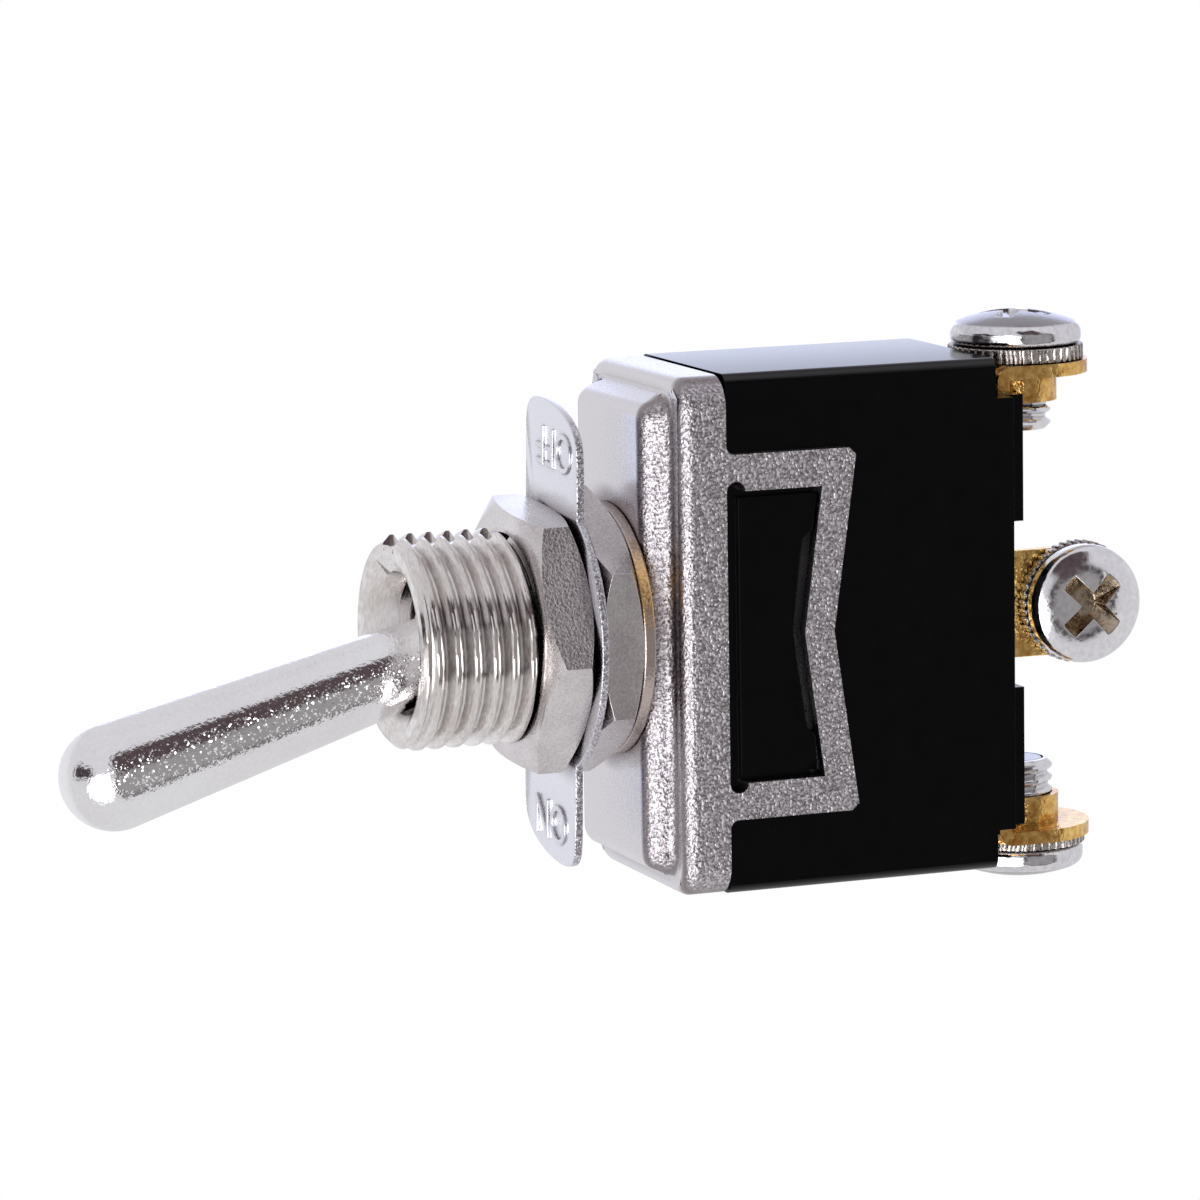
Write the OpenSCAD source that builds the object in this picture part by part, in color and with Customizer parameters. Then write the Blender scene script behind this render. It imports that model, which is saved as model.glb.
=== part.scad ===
// Panel toggle switch, one pole, two ways, with screw terminals.
// Millimetres. -Y is the front (bushing and lever), +Z the long way of the
// casing, +X the side that shows the cover's loop. The origin is on the
// bushing's axis, at the front of the cover's raised plateau.

/* [Cover] */
// Half width of the cover across X
cover_half_x = 7.0; // [6:0.1:10]
// Half length of the cover along Z
cover_half_z = 14.5; // [12:0.1:20]
// Sheet thickness
sheet = 0.8; // [0.4:0.05:1.2]
// Outside radius of the cover's four upright corners
cover_corner_r = 1.8; // [1:0.1:3]
// Depth from the plateau back to the step round it
step_depth = 1.6; // [1:0.1:2.4]
// Depth from the plateau back to the skirt's edge
skirt_depth = 4.3; // [3.4:0.1:6]
// Radius of the bend from the step into the skirt
skirt_bend_r = 0.8; // [0.4:0.1:1.2]
// Half width of the flat plateau
plateau_half_x = 4.3; // [3.8:0.1:4.5]
// Half length of the flat plateau
plateau_half_z = 12.15; // [9:0.05:12.4]
// Radius of the bend at the plateau's edge
plateau_bend_r = 1.0; // [0.9:0.05:1.2]
// Steepness of the slope round the plateau
plateau_slope = 64; // [58:1:75]

/* [Loops] */
// Outside half length of a loop along Z
loop_half_z = 10.2; // [8:0.1:12]
// Width of the strip that makes a loop
loop_strip = 2.05; // [1.2:0.05:3]
// Depth from the plateau to a loop's back corners
loop_depth = 12.05; // [8:0.1:16]
// How far the middle of a loop's back bar is bent forward
loop_bow = 1.4; // [0:0.1:2]
// Radius of the relief hole at a loop's front corners
relief_r = 0.55; // [0.3:0.05:0.8]

/* [Casing] */
// Half length of the casing along Z
casing_half_z = 14.55; // [12:0.05:20]
// Depth from the plateau to the casing's back
casing_back = 22.05; // [18:0.05:30]
// Rounding of the casing's long edges
casing_edge_r = 0.67; // [0.2:0.01:1.2]
// Depth of the rebates along the two back edges
rebate_deep = 1.1; // [0.5:0.1:2]
// Height of the rebates
rebate_high = 2.25; // [1:0.05:4]
// Thickness of the casing's side walls
wall_x = 1.5; // [1:0.1:2.5]
// Thickness of the casing's end walls where the cover grips them
wall_z = 1.1; // [0.8:0.1:2]
// Thickness of the casing's back
back_wall = 2.6; // [1.5:0.1:5]
// Height of the pad inside each loop
pad_rise = 0.5; // [0.2:0.05:0.7]
// Space between the pad and its loop
pad_gap = 0.4; // [0.2:0.05:0.8]
// How far the terminal bosses stand out of the back
boss_rise = 1.13; // [0.9:0.01:2]
// Half width of the terminal bosses
boss_half_x = 5.0; // [4.4:0.1:6]
// Lower edge of the upper boss
boss_upper_z = 5.1; // [4:0.1:7]
// Upper edge of the lower boss, below the axis
boss_lower_z = 4.4; // [4:0.1:7]

/* [Bushing] */
// Outside radius of the threaded bushing
bushing_r = 6.0; // [5:0.05:8]
// Length of the bushing in front of the plateau
bushing_len = 13.0; // [10:0.1:18]
// How far inside the crests the nuts' thread meets the bushing's
thread_mesh = 0.3; // [0.2:0.05:0.5]
// Chamfer at the bushing's front rim
rim_chamfer = 0.5; // [0.2:0.1:0.8]
// Radius of the mouth at the front face
mouth_r = 4.2; // [3.9:0.05:4.6]
// Radius of the hole behind the tapered mouth
lip_r = 3.6; // [3.5:0.05:4]
// Depth of the tapered mouth
mouth_deep = 1.7; // [1:0.1:2.5]
// Length of the ring that keeps the pivot pin in
ring_len = 2.0; // [1:0.1:4]
// Width of the keyway along the top
key_w = 1.6; // [1:0.1:2.4]
// Depth of the keyway
key_d = 0.9; // [0.4:0.1:1.1]
// Half width of the flats on the neck in the cover
neck_half_x = 3.4; // [3:0.1:3.9]
// Radius of the neck's round ends
neck_r = 5.5; // [5.2:0.1:5.8]

/* [Hardware] */
// Size of both nuts across flats
nut_af = 14; // [13:0.5:17]
// Thickness of the front nut
front_nut_t = 2.7; // [1.5:0.1:4]
// Turn of the front nut about its axis
front_nut_turn = 24; // [0:1:59]
// Thickness of the rear nut
rear_nut_t = 2.4; // [1.5:0.1:4]
// Thickness of the brass washer on the plateau
washer_t = 0.7; // [0.3:0.05:1.2]
// Outside radius of the brass washer
washer_r = 7.1; // [6.6:0.1:8]
// Thickness of the indicator plate
plate_t = 0.45; // [0.3:0.05:1.2]
// Radius of the indicator plate's disc
plate_r = 8.0; // [7.4:0.1:10]
// Half width of the plate's two tabs
tab_half_w = 4.0; // [3:0.1:6]
// Half length of the plate over its tabs
tab_reach = 13.0; // [10:0.05:16]
// Radius of the tabs' ends
tab_end_r = 11.5; // [8:0.1:16]
// How far the tabs' ends peak to one side
tab_end_shift = 1.5; // [0:0.1:2]
// Turn of the plate about its axis
plate_turn = 3.2; // [-5:0.1:5]

/* [Lever] */
// Depth of the lever's pivot in front of the plateau
pivot_y = 7.6; // [7:0.1:8]
// Tilt of the lever each way from the middle
lever_tilt = 15.9; // [10:0.1:16]
// Distance from the pivot to the end of the lever
lever_len = 25.3; // [20:0.1:30]
// Radius of the lever's rounded end
tip_r = 3.02; // [2.6:0.05:4]
// Radius of the lever where it leaves the ball
root_r = 2.1; // [1.8:0.05:2.2]
// Radius of the ball
ball_r = 3.9; // [3:0.05:3.95]
// Radius of the hollow tail
tail_r = 1.9; // [1.7:0.05:1.95]
// Distance from the pivot to the end of the tail
tail_len = 10.6; // [9:0.1:11]
// Radius of the pivot pin
pin_r = 0.75; // [0.5:0.05:0.85]
// Half length of the pivot pin
pin_half = 4.6; // [4.3:0.05:4.65]
// Radius of the plunger
plunger_r = 1.1; // [0.8:0.05:1.2]
// Distance from the pivot to the plunger's rounded end
plunger_reach = 14.2; // [13.6:0.05:14.25]

/* [Rocker] */
// Depth from the plateau to the rocker's pivot
rocker_y = 9.5; // [9.4:0.05:10]
// Tilt of the rocker each way
rocker_tilt = 8; // [6:0.5:8]
// Radius of the rocker's trough
trough_r = 6.0; // [5.8:0.05:6.2]
// Distance from the rocker's pivot forward to the trough
trough_drop = 2.82; // [2.7:0.01:2.9]
// Thickness of the rocker
rocker_t = 0.8; // [0.6:0.05:0.9]
// Half width of the rocker
rocker_half_x = 2.2; // [1.5:0.1:3]
// Half length of the rocker's trough
trough_half_z = 3.7; // [3.4:0.1:4]
// Half length of the rocker
rocker_half_z = 9.0; // [8.6:0.1:10]
// Radius of the rocker's barrel
barrel_r = 1.0; // [0.7:0.05:1.2]
// Distance of the contacts from the axis
contact_z = 7.6; // [7.2:0.1:8]
// Radius of the contacts
contact_r = 1.4; // [1:0.05:1.6]
// Thickness of a contact
contact_t = 0.8; // [0.5:0.05:0.85]

/* [Terminals] */
// Thickness of the terminal strips
strip_t = 0.75; // [0.5:0.05:1]
// Half width of an end terminal outside the casing
end_half_w = 4.1; // [3.2:0.05:4.6]
// Half width of an end terminal inside the casing
inner_half_w = 2.5; // [2:0.1:3]
// Height of an end terminal's outer face above the axis
end_face_z = 13.75; // [13.4:0.05:14]
// Distance from the casing's back to an end screw
end_screw_out = 3.02; // [3:0.01:5]
// Distance from the casing's back to the middle screw
mid_screw_out = 6.25; // [5:0.05:8]
// Half width of the middle terminal
mid_half_w = 3.1; // [2.6:0.1:4]
// Height of the middle terminal's centre line
mid_z = -0.35; // [-0.5:0.05:0.5]
// Offset of the middle terminal's strip to the side of its screw
mid_x = 0.5; // [0:0.1:1]
// Length of the tapped collars under the strips
collar_len = 1.6; // [0.8:0.1:2]
// Wall of the tapped collars
collar_wall = 0.35; // [0.25:0.05:0.6]

/* [Screws] */
// Radius of the end screws' thread
end_thread_r = 2.0; // [1.5:0.05:2.2]
// Radius of the end screws' heads
end_head_r = 3.75; // [3:0.05:4.2]
// Length of the end screws under the head
end_screw_len = 4.85; // [3:0.05:6]
// Radius of the middle screw's thread
mid_thread_r = 1.75; // [1.4:0.05:2]
// Radius of the middle screw's head
mid_head_r = 3.42; // [2.8:0.05:4]
// Length of the middle screw under the head
mid_screw_len = 4.6; // [3:0.05:6]
// Height of the heads' straight side
head_side = 1.15; // [0.6:0.05:1.6]
// Height of the heads' dome above that side
head_dome = 0.8; // [0.5:0.05:1.4]
// Half length of the cross recess
cross_half = 2.3; // [1.2:0.05:2.4]
// Width of the cross recess's arms
cross_w = 1.05; // [0.6:0.05:1.3]
// Depth of the cross recess
cross_deep = 1.6; // [1:0.1:1.7]
// Thickness of the middle screw's toothed washer
tooth_t = 0.7; // [0.4:0.05:1]
// Thickness of the upper screw's toothed washer
upper_washer_t = 0.85; // [0.4:0.05:1]
// Thickness of the lower screw's toothed washer, drawn flatter
lower_washer_t = 0.5; // [0.4:0.05:1]
// How far the toothed washers stand out past the heads
tooth_out = 0.12; // [0:0.01:0.4]
// Number of teeth on a washer
teeth = 18; // [10:1:26]

/* [Hidden] */
$fn = 48;

run_gap = 0.05;        // radial clearance of what turns or slides
seat_gap = 0.03;       // clearance of what is pushed into a slot
thread_gap = 0.03;     // clearance between nut and bushing
insulator_t = 0.4;
eps = 0.01;

cover_in_x = cover_half_x - sheet;
cover_in_z = cover_half_z - sheet;
loop_in_z = loop_half_z - loop_strip;
loop_in_y = loop_depth - loop_strip;
casing_half_x = cover_in_x;
insulator_y = step_depth + sheet;
casing_front = insulator_y + insulator_t;
casing_step = skirt_depth + 0.3;
cavity_x = casing_half_x - wall_x;
cavity_z = cover_in_z - wall_z;
cavity_back = casing_back - back_wall;
rebate_z = casing_half_z - rebate_high;
boss_back = casing_back + boss_rise;

washer_y = -washer_t;
rear_nut_y = washer_y - rear_nut_t;
plate_y = rear_nut_y - plate_t;
front_nut_y = plate_y - front_nut_t;
end_washer_t = [upper_washer_t, lower_washer_t];

ring_front = pin_r + run_gap - pivot_y;
bore_r = ball_r + 0.3;
ring_r = bore_r + 0.55;

end_screw_y = casing_back + end_screw_out;
mid_screw_y = casing_back + mid_screw_out;
mid_face_x = mid_x + strip_t / 2;
foot_y = rocker_y + contact_t;
inner_z = contact_z + contact_r;
tail_bore_r = plunger_r + run_gap;
coil_wire = 0.35;

// ---- helpers -------------------------------------------------------------

// A flat outline in X and Z, pushed from y0 to y1
module along_y(y0, y1) {
    translate([0, y1, 0]) rotate([90, 0, 0]) linear_extrude(y1 - y0) children();
}

// A flat outline in Y and Z, pushed from x0 to x1
module along_x(x0, x1) {
    translate([x0, 0, 0]) rotate([90, 0, 90]) linear_extrude(x1 - x0) children();
}

// A revolved shape with its axis laid along +Y
module turned_y() { rotate([-90, 0, 0]) children(); }

module round_rect(hx, hz, r) {
    square([2 * hx - 2 * r, 2 * hz], center = true);
    square([2 * hx, 2 * hz - 2 * r], center = true);
    for (sx = [-1, 1], sz = [-1, 1])
        translate([sx * (hx - r), sz * (hz - r)]) circle(r);
}

// A section (out from a corner's centre, back along Y) carried round a
// rectangle whose corners have their centres at ax and az
module carried(ax, az) {
    for (sx = [0, 1], sz = [0, 1]) mirror([sx, 0, 0]) mirror([0, 0, sz])
        translate([ax, 0, az]) rotate([-90, 0, 0]) rotate([0, 0, -90])
            rotate_extrude(angle = 90) children();
    for (sx = [0, 1]) mirror([sx, 0, 0])
        translate([ax, 0, -az]) linear_extrude(2 * az) children();
    for (sz = [0, 1]) mirror([0, 0, sz]) translate([-ax, 0, az])
        rotate([90, 0, 90]) linear_extrude(2 * ax) mirror([1, -1, 0])
            children();
}

module both_sides() { children(); mirror([1, 0, 0]) children(); }
module both_ends() { children(); mirror([0, 0, 1]) children(); }

// ---- cover ---------------------------------------------------------------

// Section of the skirt, its bend and the step behind the plateau
module skirt_section(in) {
    r = cover_corner_r - in;
    b = in > 0 ? 0.1 : skirt_bend_r;
    front = step_depth + in;
    back = skirt_depth + (in > 0 ? 1 : 0);
    difference() {
        translate([0, front]) square([r, back - front]);
        translate([r - b, front - 1]) square([b + 1, 1 + b]);
    }
    intersection() {
        translate([r - b, front + b]) circle(b);
        translate([0, front]) square([r, back - front]);
    }
}

// Section of the plateau's edge, its bend and the slope down to the step
module slope_section(in) {
    edge = 0.1;
    r = plateau_bend_r - in;
    a = plateau_slope;
    end = [edge + r * sin(a), plateau_bend_r - r * cos(a)];
    front = step_depth + in;
    foot = end[0] + (front - end[1]) / tan(a);
    back = step_depth + sheet + (in > 0 ? 0.01 : 0);
    polygon([[0, in], [edge, in], [edge, end[1]], end, [foot, front],
             [foot, back], [0, back]]);
    intersection() {
        translate([edge, plateau_bend_r]) circle(r);
        translate([edge, in]) square([r, end[1] - in]);
    }
}

module cover_form(in) {
    ax = cover_half_x - cover_corner_r;
    az = cover_half_z - cover_corner_r;
    bx = plateau_half_x - 0.1;
    bz = plateau_half_z - 0.1;
    back = skirt_depth + (in > 0 ? 1 : 0);
    carried(ax, az) skirt_section(in);
    along_y(step_depth + in, back) square([2 * ax, 2 * az], center = true);
    carried(bx, bz) slope_section(in);
    along_y(in, step_depth + sheet + (in > 0 ? 0.01 : 0))
        square([2 * bx, 2 * bz], center = true);
}

module loop_outline() {
    difference() {
        union() {
            polygon([[skirt_depth - 0.4, -loop_half_z],
                     [loop_depth - 0.4, -loop_half_z],
                     [loop_depth, -loop_half_z + 0.4],
                     [loop_depth - loop_bow, 0],
                     [loop_depth, loop_half_z - 0.4],
                     [loop_depth - 0.4, loop_half_z],
                     [skirt_depth - 0.4, loop_half_z]]);
            for (s = [-1, 1])
                translate([skirt_depth - 0.1, s * loop_half_z - 0.5])
                    square([0.6, 1]);
        }
        for (s = [-1, 1])
            translate([skirt_depth + 0.5, s * (loop_half_z + 0.5)])
                circle(0.5);
        polygon([[skirt_depth, -loop_in_z], [loop_in_y, -loop_in_z],
                 [loop_in_y - loop_bow * loop_in_z / loop_half_z, 0],
                 [loop_in_y, loop_in_z], [skirt_depth, loop_in_z]]);
        for (s = [-1, 1])
            translate([skirt_depth + relief_r, s * loop_in_z])
                circle(relief_r);
    }
}

module neck_outline(r, half) {
    intersection() {
        circle(r);
        square([2 * half, 2 * r], center = true);
    }
}

module cover() {
    color([0.72, 0.70, 0.70]) {
        difference() {
            cover_form(0);
            cover_form(sheet);
            along_y(-1, sheet + 1) neck_outline(neck_r, neck_half_x);
        }
        both_sides() along_x(cover_in_x, cover_half_x) loop_outline();
    }
}

// ---- casing --------------------------------------------------------------

module pad_outline() {
    y0 = skirt_depth + 2 * pad_gap;
    z = loop_in_z - pad_gap;
    lean = loop_bow / loop_half_z;
    y1 = loop_in_y - lean * pad_gap - 0.15;
    y2 = y1 - lean * 0.26 * z;
    y3 = loop_in_y - loop_bow - pad_gap;
    polygon([[y0, -z], [y1, -z], [y2, -0.74 * z], [y3, -0.6 * z],
             [y3, 0.6 * z], [y2, 0.74 * z], [y1, z], [y0, z]]);
}

module casing() {
    color([0.05, 0.05, 0.06]) difference() {
        union() {
            along_y(casing_front, casing_step)
                round_rect(casing_half_x, cover_in_z,
                           cover_corner_r - sheet + 0.3);
            along_y(casing_step - eps, casing_back - rebate_deep)
                round_rect(casing_half_x, casing_half_z, casing_edge_r);
            along_y(casing_step, casing_back)
                square([2 * casing_half_x, 2 * rebate_z], center = true);
            translate([-boss_half_x, casing_back - eps, boss_upper_z])
                cube([2 * boss_half_x, boss_rise + eps,
                      rebate_z - boss_upper_z]);
            translate([-boss_half_x, casing_back - eps, -rebate_z])
                cube([2 * boss_half_x, boss_rise + eps,
                      rebate_z - boss_lower_z]);
            both_sides()
                along_x(casing_half_x - eps, casing_half_x + pad_rise)
                    pad_outline();
        }
        along_y(casing_front - 1, cavity_back)
            round_rect(cavity_x, cavity_z, 0.6);
        both_ends() {
            translate([-end_half_w - seat_gap, casing_back - seat_gap,
                       inner_z - seat_gap])
                cube([2 * (end_half_w + seat_gap), boss_rise + 1,
                      casing_half_z]);
            translate([-inner_half_w - seat_gap, cavity_back - 1,
                       inner_z - seat_gap])
                cube([2 * (inner_half_w + seat_gap), back_wall + 2,
                      strip_t + 2 * seat_gap]);
        }
        translate([mid_x - strip_t / 2 - seat_gap, cavity_back - 1,
                   mid_z - mid_half_w - seat_gap])
            cube([strip_t + 2 * seat_gap, back_wall + 2,
                  2 * (mid_half_w + seat_gap)]);
    }
}

module insulator() {
    color([0.45, 0.42, 0.38]) along_y(insulator_y, casing_front) difference() {
        round_rect(cover_in_x - 0.2, cover_in_z - 0.2,
                   cover_corner_r - sheet + 0.3);
        round_rect(tail_r + 1.2, neck_r + 0.9, 1);
    }
}

// ---- bushing and its hardware ----------------------------------------------

module bushing() {
    lip_end = mouth_deep - bushing_len;
    color([0.75, 0.75, 0.76]) difference() {
        union() {
            turned_y() {
                translate([0, 0, -bushing_len])
                    cylinder(h = rim_chamfer, r1 = bushing_r - rim_chamfer,
                             r2 = bushing_r);
                translate([0, 0, rim_chamfer - bushing_len])
                    cylinder(h = bushing_len - rim_chamfer + front_nut_y
                                 - 0.1, r = bushing_r);
                // under the nuts, where the threads mesh
                translate([0, 0, front_nut_y - 0.1 - eps])
                    cylinder(h = 0.1 + eps - front_nut_y,
                             r = bushing_r - thread_mesh);
            }
            along_y(-eps, sheet) neck_outline(neck_r, neck_half_x);
            along_y(sheet, sheet + 0.5) neck_outline(neck_r + 0.4, neck_half_x);
        }
        turned_y() {
            translate([0, 0, -bushing_len - eps])
                cylinder(h = mouth_deep + eps, r1 = mouth_r, r2 = lip_r);
            translate([0, 0, lip_end - eps])
                cylinder(h = 0.7 + 2 * eps, r = lip_r);
            translate([0, 0, lip_end + 0.7])
                cylinder(h = ring_front - lip_end - 0.7 + eps, r = bore_r);
            translate([0, 0, ring_front])
                cylinder(h = -ring_front, r = ring_r);
        }
        along_y(-eps, sheet + 1) neck_outline(ring_r, neck_half_x - 0.8);
        // slots for the ends of the pivot pin
        translate([-ring_r, -pivot_y, 0]) rotate([0, 90, 0])
            cylinder(h = 2 * ring_r, r = pin_r + run_gap);
        translate([-ring_r, -pivot_y, -pin_r - run_gap])
            cube([2 * ring_r, ring_front + pivot_y + eps,
                  2 * (pin_r + run_gap)]);
        translate([-key_w / 2, -bushing_len - 1, bushing_r - key_d])
            cube([key_w, bushing_len + 1, 2]);
    }
}

module retaining_ring() {
    color([0.7, 0.6, 0.35]) turned_y() translate([0, 0, ring_front])
        difference() {
            cylinder(h = ring_len, r = ring_r);
            translate([0, 0, -1])
                cylinder(h = ring_len + 2, r = bore_r + run_gap);
        }
}

module chamfered_nut(t) {
    corner = nut_af / sqrt(3);
    over = corner + 0.05;
    c = (over - nut_af / 2) * tan(30);
    difference() {
        intersection() {
            rotate([0, 0, 30]) cylinder(h = t, r = corner, $fn = 6);
            union() {
                cylinder(h = c, r1 = nut_af / 2, r2 = over);
                translate([0, 0, c]) cylinder(h = t - 2 * c, r = over);
                translate([0, 0, t - c])
                    cylinder(h = c, r1 = over, r2 = nut_af / 2);
            }
        }
        translate([0, 0, -1])
            cylinder(h = t + 2, r = bushing_r - thread_mesh + thread_gap);
    }
}

module front_nut() {
    color([0.78, 0.78, 0.79]) translate([0, front_nut_y, 0])
        rotate([0, -front_nut_turn, 0]) turned_y() chamfered_nut(front_nut_t);
}

module rear_nut() {
    color([0.78, 0.78, 0.79]) translate([0, rear_nut_y, 0])
        turned_y() chamfered_nut(rear_nut_t);
}

module brass_washer() {
    color([0.80, 0.60, 0.25]) turned_y() translate([0, 0, washer_y])
        difference() {
            cylinder(h = washer_t, r = washer_r);
            translate([0, 0, -1])
                cylinder(h = washer_t + 2, r = bushing_r);
        }
}

module indicator_plate() {
    color([0.80, 0.80, 0.83]) rotate([0, plate_turn, 0])
        along_y(plate_y, rear_nut_y) difference() {
            union() {
                circle(plate_r);
                for (s = [-1, 1]) intersection() {
                    translate([-s * tab_end_shift,
                               s * (tab_reach - tab_end_r)])
                        circle(tab_end_r, $fn = 96);
                    translate([-tab_half_w, s > 0 ? 0 : -tab_reach])
                        square([2 * tab_half_w, tab_reach]);
                }
            }
            difference() {
                circle(bushing_r);
                translate([-0.3 * key_w, bushing_r - 0.7 * key_d])
                    square([0.6 * key_w, 2]);
            }
        }
}

// ---- lever -----------------------------------------------------------------

// Places a shape made about the lever's own axis, tail towards +Y
module on_lever() {
    translate([0, -pivot_y, 0]) rotate([lever_tilt, 0, 0]) children();
}

module lever() {
    shaft = lever_len - tip_r;
    color([0.82, 0.82, 0.84]) on_lever() difference() {
        union() {
            sphere(ball_r);
            rotate([90, 0, 0]) {
                cylinder(h = shaft, r1 = root_r, r2 = tip_r);
                translate([0, 0, shaft]) sphere(tip_r);
            }
            turned_y() cylinder(h = tail_len, r = tail_r);
        }
        turned_y() translate([0, 0, pin_r + 0.8])
            cylinder(h = tail_len, r = tail_bore_r);
        translate([-ball_r - 1, 0, 0]) rotate([0, 90, 0])
            cylinder(h = 2 * ball_r + 2, r = pin_r);
    }
}

module pivot_pin() {
    color([0.6, 0.6, 0.62]) on_lever() translate([-pin_half, 0, 0])
        rotate([0, 90, 0]) cylinder(h = 2 * pin_half, r = pin_r);
}

module plunger() {
    back = plunger_reach - plunger_r;
    color([0.85, 0.82, 0.74]) on_lever() turned_y() {
        translate([0, 0, tail_len - 3.6])
            cylinder(h = back - tail_len + 3.6, r = plunger_r);
        translate([0, 0, back]) sphere(plunger_r);
    }
}

// The wire of a coil cut square to the coil's axis: a crescent whose ends
// taper, so that the twisted solid has a round wire
module coil_section(r, wire, pitch) {
    half = min(atan(1) * 4 * wire * 180 / (pitch * 45) * 1.0, 150);
    out = [for (i = [0 : 6]) let (u = i / 3 - 1, h = wire * sqrt(1 - u * u))
        [(r + h) * cos(half * u), (r + h) * sin(half * u)]];
    back = [for (i = [5 : -1 : 1]) let (u = i / 3 - 1, h = wire * sqrt(1 - u * u))
        [(r - h) * cos(half * u), (r - h) * sin(half * u)]];
    polygon(concat(out, back));
}

module plunger_spring() {
    z0 = pin_r + 0.85;
    z1 = tail_len - 3.95;
    turns = 5;
    wire = coil_wire / 2;
    color([0.7, 0.7, 0.72]) on_lever() turned_y() translate([0, 0, z0])
        linear_extrude(z1 - z0, twist = -360 * turns, slices = 12 * turns,
                       $fn = 4)
            coil_section(plunger_r - wire - 0.05, wire, (z1 - z0) / turns);
}

// ---- rocker ------------------------------------------------------------------

// Places a shape made about the rocker's own pivot, level
module on_rocker() {
    translate([0, rocker_y, 0]) rotate([-rocker_tilt, 0, 0]) children();
}

module rocker_outline() {
    arm_y = -trough_drop - 0.2;
    intersection() {
        difference() {
            translate([-trough_drop - trough_r, 0])
                circle(trough_r + rocker_t, $fn = 96);
            translate([-trough_drop - trough_r, 0])
                circle(trough_r, $fn = 96);
        }
        translate([-trough_drop - trough_half_z, -trough_half_z])
            square(2 * trough_half_z);
    }
    arm_z = 0.8 * trough_half_z;
    for (s = [-1, 1]) translate([arm_y, s > 0 ? arm_z : -rocker_half_z])
        square([rocker_t, rocker_half_z - arm_z]);
    translate([rocker_t / 2 - trough_drop, -0.6 * barrel_r])
        square([trough_drop - rocker_t / 2, 1.2 * barrel_r]);
    circle(barrel_r);
}

module rocker() {
    color([0.78, 0.45, 0.28]) on_rocker()
        along_x(-rocker_half_x, rocker_half_x) rocker_outline();
}

module moving_contacts() {
    color([0.88, 0.88, 0.86]) on_rocker() both_ends()
        translate([0, rocker_t - trough_drop - 0.2, contact_z]) turned_y()
            cylinder(h = contact_t, r = contact_r);
}

module fixed_contacts() {
    color([0.88, 0.88, 0.86]) both_ends()
        translate([0, foot_y - contact_t - 0.05, contact_z]) turned_y() {
            translate([0, 0, 0.2])
                cylinder(h = contact_t - 0.15, r = contact_r);
            cylinder(h = 0.2, r1 = contact_r - 0.4, r2 = contact_r);
        }
}

// ---- terminals ------------------------------------------------------------------

module upper_strip() {
    bend = 0.9;
    tab_z = end_face_z - strip_t;
    // tab with its round end
    translate([0, 0, tab_z]) linear_extrude(strip_t) {
        translate([-end_half_w, casing_back + bend])
            square([2 * end_half_w, end_screw_out - bend]);
        translate([0, end_screw_y]) circle(end_half_w);
    }
    // bend and leg down the casing's back
    along_x(-end_half_w, end_half_w) {
        difference() {
            translate([casing_back + bend, end_face_z - bend]) circle(bend);
            translate([casing_back + bend, end_face_z - bend])
                circle(bend - strip_t);
            translate([casing_back + bend, end_face_z - 2 * bend - 1])
                square([2 * bend, 3 * bend + 1]);
            translate([casing_back - 1, end_face_z - 2 * bend - 1])
                square([3 * bend, bend + 1]);
        }
        translate([casing_back, inner_z])
            square([strip_t, end_face_z - bend - inner_z]);
    }
    // run forward through the back and foot behind the contact
    along_x(-inner_half_w, inner_half_w) {
        translate([foot_y, inner_z])
            square([casing_back + eps - foot_y, strip_t]);
        translate([foot_y, contact_z - contact_r - 0.3])
            square([strip_t, contact_r * 2 + 0.3 + strip_t]);
    }
    translate([0, end_screw_y, tab_z - collar_len])
        cylinder(h = collar_len + eps, r = end_thread_r + collar_wall);
}

module end_terminal() {
    color([0.83, 0.62, 0.22]) difference() {
        upper_strip();
        translate([0, end_screw_y, end_face_z - strip_t - collar_len - 1])
            cylinder(h = strip_t + collar_len + 2, r = end_thread_r);
    }
}

module upper_terminal() { end_terminal(); }
module lower_terminal() { mirror([0, 0, 1]) end_terminal(); }

module common_terminal() {
    color([0.83, 0.62, 0.22]) difference() {
        union() {
            translate([mid_x - strip_t / 2, rocker_y, mid_z - mid_half_w])
                cube([strip_t, mid_screw_y - rocker_y, 2 * mid_half_w]);
            translate([mid_x - strip_t / 2, mid_screw_y, mid_z])
                rotate([0, 90, 0]) cylinder(h = strip_t, r = mid_half_w);
            translate([mid_x - strip_t / 2 - collar_len, mid_screw_y, mid_z])
                rotate([0, 90, 0]) cylinder(h = collar_len + eps,
                                            r = mid_thread_r + collar_wall);
        }
        translate([-5, mid_screw_y, mid_z]) rotate([0, 90, 0])
            cylinder(h = 10, r = mid_thread_r);
        translate([-5, rocker_y, 0]) rotate([0, 90, 0])
            cylinder(h = 10, r = barrel_r + run_gap);
    }
}

// ---- screws and washers ------------------------------------------------------------

// A cross-recess screw along Z, its head standing on z = 0
module cross_screw(thread_r, head_r, len) {
    dome_r = (head_r * head_r + head_dome * head_dome) / (2 * head_dome);
    top = head_side + head_dome;
    difference() {
        union() {
            translate([0, 0, -len + 0.4])
                cylinder(h = len - 0.4 + eps, r = thread_r);
            translate([0, 0, -len])
                cylinder(h = 0.4, r1 = thread_r - 0.4, r2 = thread_r);
            cylinder(h = head_side, r = head_r);
            intersection() {
                translate([0, 0, top - dome_r]) sphere(dome_r, $fn = 96);
                cylinder(h = top + 1, r = head_r);
            }
        }
        intersection() {
            translate([0, 0, top - cross_deep])
                cylinder(h = cross_deep + eps, r1 = 0.35 * cross_half,
                         r2 = cross_half);
            union() for (a = [45, 135]) rotate([0, 0, a])
                translate([-cross_half, -cross_w / 2, top - cross_deep])
                    cube([2 * cross_half, cross_w, cross_deep + 1]);
        }
    }
}

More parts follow.
